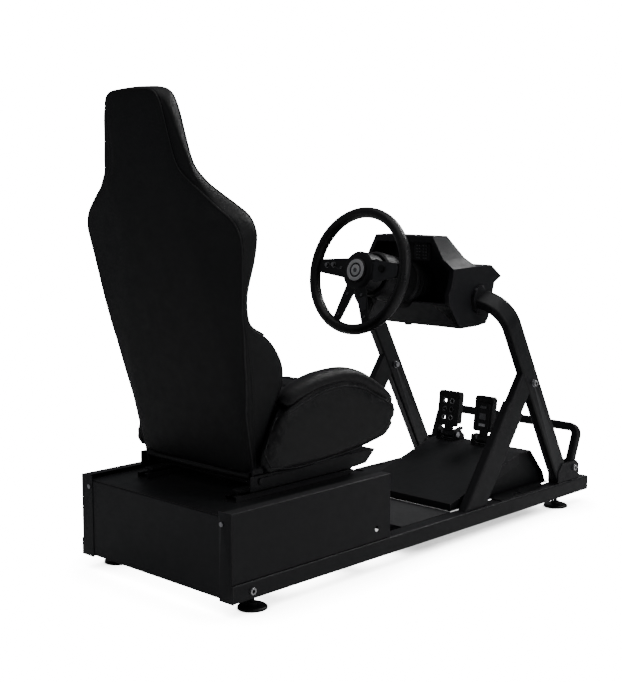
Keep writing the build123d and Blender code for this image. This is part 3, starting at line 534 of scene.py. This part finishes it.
# half of the edge, from the middle of the foot up to the middle of the top: half width, height, how far the
# seam is ahead, width of the sloping facet, and the outer and front edges: out past the seam, ahead
EDGE = [(0, -2, 4, 12, 1, 24, 0, 44), (110, -2, 4, 12, 1, 24, 0, 44), (172, 0, 4, 12, 2, 24, 0, 44),
        (198, 8, 5, 12, 3, 26, 0, 46), (206, 30, 6, 10, 4, 30, 2, 50), (209, 85, 6, 12, 6, 42, 5, 62),
        (213, 150, 6, 16, 9, 60, 9, 100), (222, 193, 7, 30, 7, 64, 7, 128), (232, 245, 8, 42, 5, 60, 5, 130),
        (240, 300, 8, 55, 4, 50, 4, 105), (247, 335, 8, 68, 3, 34, 3, 74), (252, 370, 8, 80, 3, 20, 3, 34),
        (257, 410, 8, 92, 2, 14, 3, 26), (265, 455, 11, 105, 2, 17, 3, 30), (275, 515, 15, 130, 2, 24, 2, 54),
        (282, 560, 17, 148, 2, 28, 2, 66), (282, 590, 16, 152, 3, 29, 3, 69), (268, 622, 14, 140, 4, 28, 4, 68),
        (236, 651, 8, 100, 4, 24, 4, 60), (188, 690, 5, 40, 11, 15, 9, 44), (160, 712, 4, 16, 20, 11, 16, 38),
        (132, 738, 3, 12, 32, 10, 24, 35), (119, 766, 3, 12, 38, 10, 29, 33), (112, 812, 3, 12, 30, 10, 22, 39),
        (107, 862, 3, 12, 19, 11, 12, 47), (102, 890, 4, 12, 11, 13, 8, 49), (95, 908, 4, 12, 5, 20, 4, 51),
        (84, 919, 5, 12, 3, 20, 1, 52), (68, 925, 5, 12, 2, 20, 0, 53), (40, 927, 5, 12, 2, 20, 0, 53),
        (0, 928, 5, 12, 2, 20, 0, 53)]
right_edge = smooth_rows(EDGE, 6)
loop = right_edge + [[-row[0], *row[1:]] for row in reversed(right_edge[1:-1])]
SPINE_LOW, SPINE_HIGH = 60.0, 840.0

cover_points, seam_line, band_line, front_line = [], [], [], []
for x, height, seam, facet, out, out_ahead, front, front_ahead in loop:
    spine_height = min(max(height, SPINE_LOW), SPINE_HIGH)
    across_by, up_by = -x, spine_height - height
    reach = math.hypot(across_by, up_by)
    dx, dh = across_by / reach, up_by / reach

    def at(inward, ahead):
        """A point inward from the seam, towards the backrest's middle line."""
        inward = min(inward, reach)
        return on_back(x + dx * inward, height + dh * inward, ahead)

    facet = min(facet, reach * 0.8)
    ring = [at(reach, 42), at(min(reach * 0.6, 70), 42), at(34 - front, 44 + 0.35 * (front_ahead - 44)),
            at(16 - front, front_ahead + 1), at(5 - front, front_ahead), at(-front, front_ahead - 6),
            at(-(front * 0.55 + out * 0.45) - 1.5, front_ahead * 0.5 + out_ahead * 0.5), at(-out, out_ahead),
            at(-out * 0.55 - 0.6, seam + (out_ahead - seam) * 0.45), at(-1.2, seam + 3), at(0.6, seam + 0.3),
            at(4, seam * 0.97 - 0.2), at(facet * 0.5 + 2, seam * 0.5), at(facet, 0.7), at(facet + 10, -0.2),
            at(facet + (reach - facet) * 0.5, -1.2), at(reach, -1.6)]
    cover_points.append(ring)
    seam_line.append(at(-0.4, seam + 1.2))
    band_line.append(at(-out * 0.35 - 1.6, seam + (out_ahead - seam) * 0.3 + 2))
    front_line.append(at(6 - front, front_ahead + 1.5))
columns = len(cover_points[0])
cover_mesh = outward([p for ring in cover_points for p in ring],
                     grid_faces(len(cover_points), columns, wrap_rows=True))
backrest_cover = piece("backrest_cover", cover_mesh, FINISH["shell_black"], "backrest")
subdivide(backrest_cover)
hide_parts("backrest_shell")

tube("backrest_piping", seam_line, 0.0017, PIPING, "backrest", closed=True)
tube("backrest_front_piping", front_line[60:-60], 0.0018, PIPING, "backrest")
stitches("backrest_stitching", band_line + band_line[:1],
         lambda p: Vector((p.x, 0, 0)) + BACK_UP * max((p - BACK_FOOT).dot(BACK_UP) - 0.85, 0) * 4, THREAD,
         "backrest")

roll_points = [on_back(x, -7 - 3 * math.cos(x / 200 * math.pi / 2), 9) for x in range(-192, 193, 12)]
foot_roll = tube("backrest_foot_roll", roll_points, 0.0095, FINISH["vinyl_black"], "backrest",
                 sides=6)


# ------------------------------------------------------------------ padded front of the backrest
def pad_slab(rows, low, high, middle=0.0):
    """A closed flat pad on the backrest from (height, half width) rows, between two distances ahead."""
    points = []
    for height, half in rows:
        for x, ahead in ((-half, low), (-half, high - 6), (-half * 0.94, high), (-half * 0.4, high + middle),
                         (half * 0.4, high + middle), (half * 0.94, high), (half, high - 6), (half, low)):
            points.append(on_back(x, height, ahead))
    return outward(points, closed_faces(len(rows), 8))


def back_normal(p):
    """The way a channel in the backrest's front sinks."""
    return BACK_OUT


def held_to_back(p):
    """True where a pad is fixed to the shell."""
    return back_place(p)[2] < 47


centre_rows = smooth_rows([(36, 138), (150, 146), (300, 150), (450, 150), (560, 154), (640, 140)], 4)
centre_mesh = puff(pad_slab(centre_rows, 43, 55), 0.006, 4.0, 0.010, held_to_back)
for level in (120, 200, 280, 360, 440, 520, 596):
    groove(centre_mesh, lambda p, level=level: abs(back_place(p)[1] - level) * MM if back_place(p)[2] > 49 else 1,
           back_normal, 0.006, 0.006)
back_pad = subdivide(piece("backrest_centre_pad", centre_mesh, FINISH["vinyl_black"], "backrest"))
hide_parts("backrest_pad")

head_rows = smooth_rows([(652, 132), (690, 126), (720, 116), (770, 102), (830, 96), (880, 86), (905, 68)], 4)
head_mesh = puff(pad_slab(head_rows, 43, 54, 4), 0.006, 4.0, 0.010, held_to_back)
groove(head_mesh, lambda p: abs(back_place(p)[1] - 742) * MM if back_place(p)[2] > 49 else 1, back_normal,
       0.005, 0.006)
head_pad = subdivide(piece("headrest_pad", head_mesh, FINISH["vinyl_black"], "backrest"))

# side pads between the centre pad and the front edge: height, outer half width, front
SIDE_PAD = [(60, 200, 62), (110, 204, 82), (168, 216, 118), (205, 224, 124), (242, 230, 118), (300, 234, 86),
            (345, 224, 54), (380, 214, 45), (430, 214, 45), (470, 230, 49), (518, 250, 57), (560, 266, 66),
            (596, 270, 68), (622, 258, 66), (645, 232, 58)]
side_rows = smooth_rows(SIDE_PAD, 3)
side_points = []
for height, outer, ahead in side_rows:
    swell = ahead - 50
    for x, n in ((156, 33), (158, 56), (156 + (outer - 156) * 0.4, 58 + swell * 0.55), (outer - 22, 50 + swell),
                 (outer - 10, 50 + swell * 0.93), (outer - 7, 33)):
        side_points.append(on_back(x, height, n))
side_mesh = puff(outward(side_points, closed_faces(len(side_rows), 6)), 0.006, 4.0, 0.009, held_to_back)
for hand, mesh in (("right", side_mesh), ("left", mirrored(side_mesh))):
    side_pad = subdivide(piece(f"backrest_side_pad_{hand}", mesh, FINISH["vinyl_black"], "backrest"))
    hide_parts(f"backrest_wing_{hand}")

# ------------------------------------------------------------------ seat cushion and bolsters
CUSHION = [(-506, 305), (-420, 309), (-320, 315), (-220, 322), (-142, 332), (-100, 366), (-84, 395), (-84, 420),
           (-104, 440), (-140, 444), (-220, 436), (-320, 424), (-420, 412), (-522, 400), (-524, 380), (-516, 340)]
cushion_mesh = puff(extruded(CUSHION, -160, 160, 0.02), 0.006, 4.0, 0.012,
                    lambda p: p.z < 0.318 + 0.17 * max(p.y + 0.32, 0))
for y in (-440, -370, -300, -230, -160):
    groove(cushion_mesh, lambda p, y=y: abs(p.y - y * MM) if p.z > 0.395 else 1, lambda p: Vector((0, 0, 1)),
           0.007, 0.006)
cushion = subdivide(piece("seat_cushion_pad", cushion_mesh, FINISH["vinyl_black"], "seat_carriage"))
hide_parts("seat_cushion")

BOLSTER = [(-580, 330), (-566, 308), (-500, 305), (-440, 304), (-350, 309), (-268, 317), (-200, 328), (-140, 340),
           (-112, 364), (-98, 390), (-100, 418), (-116, 436), (-153, 456), (-200, 482), (-245, 504), (-285, 514),
           (-340, 512), (-400, 504), (-440, 494), (-500, 464), (-530, 438), (-552, 408), (-574, 366)]
bolster_rows = []
for x, pull in ((218, 0.04), (226, 0.0), (240, 0.0), (246, 0.02)):
    bolster_rows.append([(x, y + (-330 - y) * pull, z + (400 - z) * pull) for y, z in BOLSTER])
inner_outline = [(max(y, -506), z) for y, z in BOLSTER]
bolster_rows = [[(168, y, z) for y, z in inner_outline], [(214, y, z) for y, z in inner_outline]] + bolster_rows
bolster_points = [Vector(p) * MM for row in bolster_rows for p in row]
bolster_faces = closed_faces(len(bolster_rows), len(BOLSTER))
bolster_mesh = puff(outward(bolster_points, bolster_faces), 0.006, 4.0, 0.008,
                    lambda p: p.z < 0.312 + 0.17 * max(p.y + 0.32, 0) or p.x < 0.172)

# the roll that lies along the top edge of the bolster
ROLL = [(-498, 462, 13), (-488, 472, 19), (-460, 487, 22), (-400, 505, 23), (-340, 511, 23), (-285, 510, 23),
        (-230, 496, 22), (-180, 470, 21), (-140, 447, 19), (-116, 430, 16), (-106, 418, 10)]
roll_rows = smooth_rows(ROLL, 4)
roll_verts = []
for i, (y, z, radius) in enumerate(roll_rows):
    before, after = roll_rows[max(i - 1, 0)], roll_rows[min(i + 1, len(roll_rows) - 1)]
    run = Vector((0, after[0] - before[0], after[1] - before[1])).normalized()
    up = Vector((1, 0, 0)).cross(run)
    for k in range(20):
        turn = 2 * math.pi * k / 20
        across_by = math.cos(turn) * radius * 1.42
        roll_verts.append((Vector((218 + across_by, y, z)) + up * (math.sin(turn) * radius)) * MM)
roll_mesh = outward(roll_verts, closed_faces(len(roll_rows), 20))

seam_yz = smooth_rows([(-506, 448), (-484, 454), (-440, 470), (-380, 485), (-320, 490), (-270, 485), (-220, 470),
                       (-170, 444), (-130, 420), (-108, 400)], 6)
under_yz = smooth_rows([(-560, 322), (-500, 312), (-440, 310), (-350, 315), (-268, 322), (-200, 333), (-146, 345),
                        (-116, 370)], 5)
rear_yz = smooth_rows([(-560, 322), (-572, 350), (-562, 385), (-540, 418), (-512, 446)], 5)
outer_trees = [BVHTree.FromPolygons([v.co for v in shape.vertices], [tuple(f.vertices) for f in shape.polygons])
               for shape in (bolster_mesh, roll_mesh)]


def on_bolster(line, lower, above):
    """The (y, z) line in mm laid on the outer side of the bolster, a little above its surface."""
    laid = []
    for y, z in line:
        start = Vector((400, y, z - lower)) * MM
        hits = [tree.ray_cast(start, Vector((-1, 0, 0)))[0] for tree in outer_trees]
        hits = [hit for hit in hits if hit and hit.x > 0.21]
        if hits:
            laid.append(Vector((max(hit.x for hit in hits) + above * MM, start.y, start.z)))
    return laid


def handed(line, sign):
    """The line for the right (1) or the left (-1)."""
    return [Vector((sign * p.x, p.y, p.z)) for p in line]


for hand, sign in (("right", 1), ("left", -1)):
    body_shape = bolster_mesh if sign > 0 else mirrored(bolster_mesh)
    side_bolster = subdivide(piece(f"cushion_side_{hand}", body_shape, FINISH["vinyl_black"], "seat_carriage"))
    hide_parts(f"cushion_bolster_{hand}")
    roll_shape = roll_mesh if sign > 0 else mirrored(roll_mesh)
    roll = subdivide(piece(f"cushion_roll_{hand}", roll_shape, FINISH["vinyl_black"], "seat_carriage"))
    for label, line in (("top", seam_yz), ("under", under_yz), ("rear", rear_yz)):
        tube(f"cushion_piping_{label}_{hand}", handed(on_bolster(line, 0, 0.4), sign), 0.0018, PIPING,
             "seat_carriage")
    stitches(f"cushion_stitching_{hand}", handed(on_bolster(seam_yz, 7, 0.1), sign),
             lambda p, sign=sign: Vector((sign, 0, 0)), THREAD, "seat_carriage")

# ------------------------------------------------------------------ steering wheel
COLUMN = math.radians(13)
rim_low, rim_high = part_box("wheel_rim")
HUB = (rim_low + rim_high) / 2
WHEEL_UP = Vector((0, math.sin(COLUMN), math.cos(COLUMN)))
TO_DRIVER = Vector((0, -math.cos(COLUMN), math.sin(COLUMN)))


def on_wheel(x, up, near):
    """A point of the wheel in mm: right, up in its plane, and towards the driver."""
    return HUB + Vector((x * MM, 0, 0)) + WHEEL_UP * (up * MM) + TO_DRIVER * (near * MM)


RIM_TURNS, RIM_SIDES, RIM_MIDDLE = 128, 24, 165.5
RIM_DEEP, RIM_WIDE = 15.1, 17.1         # half sizes of the rim's section, in its plane and across it
GRIP_TURN = math.radians(70)            # where the rim is a little thicker for the thumbs
rim_points = []
for i in range(RIM_TURNS):
    turn = 2 * math.pi * i / RIM_TURNS
    grip = sum(max(0.0, math.cos(turn * 2 + at)) ** 6 for at in (-GRIP_TURN, GRIP_TURN))
    for k in range(RIM_SIDES):
        around = 2 * math.pi * k / RIM_SIDES
        deep, wide = RIM_DEEP + 0.4 * grip, RIM_WIDE + 0.4 * grip
        inner = math.exp(-((around - math.pi) / 0.11) ** 2)
        radial = RIM_MIDDLE + math.cos(around) * (deep - 1.3 * inner)
        near = math.sin(around) * wide
        rim_points.append(on_wheel(radial * math.cos(turn), radial * math.sin(turn), near))
rim_cover = subdivide(piece("wheel_rim_cover", outward(rim_points, grid_faces(RIM_TURNS, RIM_SIDES, True, True)),
                            FINISH["rim_leather"], "steering_wheel"))
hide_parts("wheel_rim")
STITCH_R = 150.6
inner_circle = [on_wheel(STITCH_R * math.cos(math.radians(a)), STITCH_R * math.sin(math.radians(a)), 0)
                for a in range(0, 361, 2)]
stitches("wheel_stitching", inner_circle, lambda p: HUB - p, THREAD, "steering_wheel", step=0.0048,
         long=0.0052, thick=0.00045, lean=0.9)
for degree in (28, 152, 242, 298):
    ring = []
    for k in range(24):
        around = 2 * math.pi * k / 24
        radial = RIM_MIDDLE + math.cos(around) * 15.5
        turn = math.radians(degree)
        ring.append(on_wheel(radial * math.cos(turn), radial * math.sin(turn), math.sin(around) * 17.5))
    tube(f"wheel_wrap_seam_{degree}", ring, 0.0006, FINISH["rim_leather"], "steering_wheel",
         closed=True)


def disc(name, profile, centre, direction, finish, body, sides=48):
    """A turned piece: profile is (radius, distance along direction) in mm."""
    axis = Vector(direction).normalized()
    aside = axis.orthogonal().normalized()
    third = axis.cross(aside)
    points = []
    for radius, far in profile:
        for k in range(sides):
            turn = 2 * math.pi * k / sides
            points.append(Vector(centre) + (aside * math.cos(turn) + third * math.sin(turn)) * (radius * MM)
                          + axis * (far * MM))
    faces = grid_faces(len(profile), sides, wrap_columns=True)
    mesh = outward(points, faces)
    made = piece(name, mesh, finish, body)
    made.modifiers.new("shade", "WEIGHTED_NORMAL")
    return made


hub_front = on_wheel(0, 0, 14)
disc("badge_ring", [(30.5, 0), (30.5, 1.6), (29.5, 2.4), (21.5, 2.4), (20.5, 1.6), (20.5, 0)], hub_front,
     TO_DRIVER, BADGE, "horn")
disc("badge_groove", [(20.5, 0), (20.5, 0.8), (15.5, 0.8), (15.5, 0)], hub_front, TO_DRIVER,
     FINISH["plastic_black"], "horn")
disc("badge_centre", [(15.5, 0), (15.5, 1.4), (14.6, 2.2), (9, 2.5), (0.05, 2.6)], hub_front, TO_DRIVER, BADGE,
     "horn")
disc("badge_dimple", [(6.2, 2.4), (6.2, 2.9), (4.6, 3.1), (4.2, 2.7), (0.05, 2.65)], hub_front, TO_DRIVER,
     LIGHT_STEEL, "horn")

for name, body, x, up, radius in (("upper", "button_upper", -96, 12, 6), ("outer", "button_outer", -120, 10, 6),
                                  ("right", "button_right", 88, 10, 11)):
    low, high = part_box(f"wheel_button_{name}")
    front = max((Vector(corner) - HUB).dot(TO_DRIVER) for corner in
                ((0, low.y, low.z), (0, low.y, high.z), (0, high.y, high.z))) / MM
    top = min(front, 12.0)
    face = on_wheel(x, up, top - 1.2)
    ring_finish = BRIGHT if radius < 8 else LIGHT_STEEL
    disc(f"button_ring_{name}", [(radius + 2.6, -7), (radius + 2.6, -5.8), (radius + 1.6, -5), (radius + 0.3, -5),
                                 (radius + 0.3, -7)], face, TO_DRIVER, ring_finish, "steering_wheel",
         32)
    disc(f"button_face_{name}", [(radius - 0.6, 0.9), (radius - 0.8, 1.6), (radius - 2.2, 2.0), (0.05, 1.5)], face,
         TO_DRIVER, MARKS if radius < 8 else FINISH["plastic_black"], body, 32)

for x, up in ((26, -67), (-26, -67), (49, -127), (-49, -127), (-66, 5)):
    disc(f"spoke_screw_{x + 70}_{5 - up}",
         [(4.2, 2.8), (4.2, 4.4), (3.4, 5.2), (2.1, 5.2), (2.0, 4.0), (0.05, 4.0)],
         on_wheel(x, up, 0), TO_DRIVER, LIGHT_STEEL, "steering_wheel", 24)

# the broad trim plate of the right spoke, and the small one of the lower right spoke
SPOKE_PLATE = [(58, 36), (78, 32), (112, 28), (138, 24), (144, 16), (144, -6), (134, -14), (104, -20), (78, -28),
               (62, -28), (57, -4), (57, 18)]


def prism(name, outline, place_of, low, high, finish, body, bevel=0.8):
    """A flat plate from an outline, placed by place_of(u, v, height)."""
    points = [place_of(u, v, h) for h in (low, high) for u, v in outline]
    made = piece(name, outward(points, closed_faces(2, len(outline))), finish, body)
    edge = made.modifiers.new("edges", "BEVEL")
    edge.width = bevel * MM
    edge.segments = 3
    edge.limit_method = "ANGLE"
    edge.angle_limit = math.radians(35)
    made.modifiers.new("shade", "WEIGHTED_NORMAL")
    return made


SPOKE_GREY = finish_of("spoke_grey", (0.05, 0.05, 0.055), 0.42, specular=0.45, grain="brushed", size=1500,
                       depth=0.12, edge=0.5)
prism("spoke_trim_right", SPOKE_PLATE, on_wheel, 3.1, 5.4, SPOKE_GREY, "steering_wheel")
SPREAD = math.radians(21)


def on_lower_spoke(u, v, near):
    """A point of the lower right spoke in mm: across it, out along it, and towards the driver."""
    return on_wheel(v * math.sin(SPREAD) + u * math.cos(SPREAD), u * math.sin(SPREAD) - v * math.cos(SPREAD), near)


prism("spoke_trim_lower", [(-15, 80), (15, 80), (11, 118), (-11, 118)], on_lower_spoke, 3.1, 4.8, SPOKE_GREY,
      "steering_wheel")

# ------------------------------------------------------------------ pedals
PEDAL_Y, PEDAL_Z = 0.492, 0.208         # pivot line of the pedals
PEDAL_LEAN = math.radians(8)
for pedal, body, x, half in (("brake", "brake", -42, 40), ("accelerator", "accelerator", 92, 33)):
    rise = Vector((0, math.sin(PEDAL_LEAN), math.cos(PEDAL_LEAN)))
    face = Vector((0, -math.cos(PEDAL_LEAN), math.sin(PEDAL_LEAN)))
    foot = Vector((x * MM, PEDAL_Y, PEDAL_Z))

    def on_pedal(u, v, near, foot=foot, rise=rise, face=face):
        """A point of the pedal's face in mm."""
        return foot + Vector((u * MM, 0, 0)) + rise * (v * MM) + face * (near * MM)

    cap_outline = [(-half - 1, 112), (half + 1, 112), (half + 1, 126), (half - 5, 133), (-half + 5, 133),
                   (-half - 1, 126)]
    prism(f"{pedal}_cap", cap_outline, on_pedal, -10, 15.5, FINISH["plastic_black"], body, 3.5)
    if pedal == "brake":
        # painted glints: the eyelets of the upper and lower rows take the bright finish, the middle row plain
        # steel
        for column in (-13, 13):
            for row in (-26, 0, 26):
                disc(f"brake_eyelet_{column + 20}_{row + 30}", [(8.4, 12.9), (8.2, 14.2), (7.2, 14.6),
                                                                (6.1, 14.0), (5.9, 12.4)],
                     on_pedal(column, 76 + row, 0), face, BRIGHT if row else LIGHT_STEEL, body, 28)
    else:
        # painted glint: the lowest grip band takes the bright finish, the other two plain steel
        for row, tall in ((98, 7), (70, 20), (44, 9)):
            band = [(-12, row - tall / 2), (12, row - tall / 2), (12, row + tall / 2), (-12, row + tall / 2)]
            prism(f"accelerator_grip_{row}", band, on_pedal, 12.8, 14.6, LIGHT_STEEL if row != 44 else BRIGHT,
                  body, 0.7)
        for edge_x in (-24, 24):
            rib = [(edge_x - 2, 34), (edge_x + 2, 34), (edge_x + 2, 112), (edge_x - 2, 112)]
            prism(f"accelerator_rib_{edge_x + 30}", rib, on_pedal, 12.8, 15.0, FINISH["pedal_metal"], body,
                  0.8)

    # a real coil spring in place of the plain sleeve
    s_low, s_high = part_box(f"{pedal}_spring")
    centre = (s_low + s_high) / 2
    turns, sides, steps = 5.0, 8, 100
    coil = []
    for i in range(steps + 1):
        t = i / steps
        lift = s_low.z + 0.0013 + (s_high.z - s_low.z - 0.0026) * min(max((t - 0.1) / 0.8, 0), 1)
        turn = 2 * math.pi * turns * t
        radial = Vector((math.cos(turn), math.sin(turn), 0))
        for k in range(sides):
            around = 2 * math.pi * k / sides
            coil.append(Vector((centre.x, centre.y, lift)) + radial * (0.0072 + 0.0012 * math.cos(around))
                        + Vector((0, 0, 0.0012 * math.sin(around))))
    coil_piece = piece(f"{pedal}_coil", (coil, closed_faces(steps + 1, sides)), BRIGHT, "base_frame")
    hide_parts(f"{pedal}_spring")
    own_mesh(coil_piece)

# ------------------------------------------------------------------ bolts, plates and trim
for x, y, z in ((290, 478, 406), (290, 703, 116), (294, -664, 55)):
    for sign in (1, -1):
        centre = Vector((sign * x, y, z)) * MM
        direction = Vector((sign, 0, 0))
        label = f"{abs(y)}_{'right' if sign > 0 else 'left'}"
        disc(f"bolt_face_{label}", [(9, -0.6), (9, 0.4), (8, 1.3), (5.2, 1.3), (5.0, 0.2), (0.05, 0.2)], centre,
             direction, BRIGHT, "base_frame", 36)
        # painted shade: a flat near-black hexagon stands in for the shadowed hollow of the bolt's socket
        disc(f"bolt_socket_{label}", [(5.2, 0.3), (4.9, 0.5), (0.05, 0.5)], centre, direction, SOCKET_SHADE, "base_frame",
             6)

# the lip along the foot plate's rear edge, in a lighter grey than the black tray as painted light for the light it
# catches
LIP_PAINTED_LIGHT = finish_of("lip_painted_light", (0.10, 0.10, 0.105), 0.42, specular=0.45, grain="paint", size=900, depth=0.3)
plate_low, plate_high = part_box("foot_plate")


def on_lip(u, v, near):
    """A point of the foot plate's rear face in mm."""
    return Vector((u * MM, plate_low.y - near * MM, v * MM))


prism("foot_plate_lip", [(plate_low.x / MM, 83), (plate_high.x / MM, 83), (plate_high.x / MM, 92),
                         (plate_low.x / MM, 92)], on_lip, 0.1, 1.4, LIP_PAINTED_LIGHT, "base_frame")

# glossy corner trims on the casing's slanted rear face, from its lower edge up
GLOSS = finish_of("gloss_black", (0.003, 0.003, 0.0035), 0.2, specular=0.5, grain="moulded", size=1500, depth=0.08)
SLOPE_LOW, SLOPE_HIGH = Vector((0, 0.255, 0.577)), Vector((0, 0.203, 0.647))
SLOPE = (SLOPE_HIGH - SLOPE_LOW).normalized()
SLOPE_OUT = Vector((1, 0, 0)).cross(SLOPE)


def on_slope(u, v, near):
    """A point of the casing's slanted rear face in mm."""
    return SLOPE_LOW + Vector((u * MM, 0, 0)) + SLOPE * (v * MM) + SLOPE_OUT * (near * MM)


for hand, sign in (("right", 1), ("left", -1)):
    corner = [(sign * u, v) for u, v in ((179, 2), (179, 86), (118, 86), (150, 48))]
    prism(f"corner_trim_{hand}", corner, on_slope, 0.05, 1.2, GLOSS, "steering_unit", 0.5)
disc("casing_gland", [(12, -0.6), (12, 3), (9, 6), (0.05, 6)], Vector((-0.024, 0.270, 0.577)), (0, 0, -1),
     FINISH["plastic_black"], "steering_unit", 32)

# the keypad's marks
KEYPAD_X, KEYPAD_Z, KEY_STEP = 0.018, 0.788, 0.009
key_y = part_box("control_panel")[0].y - 0.0004
for row in range(5):
    for column in range(2):
        cx = KEYPAD_X + (-0.012 if column == 0 else 0.012)
        cz = KEYPAD_Z + (row - 2) * KEY_STEP
        for dash in (-1, 1):
            outline = [(-2.6, -0.9), (2.6, -0.9), (2.6, 0.9), (-2.6, 0.9)]

            def on_key(u, v, near, cx=cx, cz=cz, dash=dash):
                """A point of a key's mark in mm."""
                return Vector((cx + (u + dash * 4.6) * MM, key_y - near * MM, cz + v * MM))

            prism(f"key_mark_{row}_{column}_{dash + 1}", outline, on_key, -0.3, 0.15, MARKS, "steering_unit",
                  0.15)
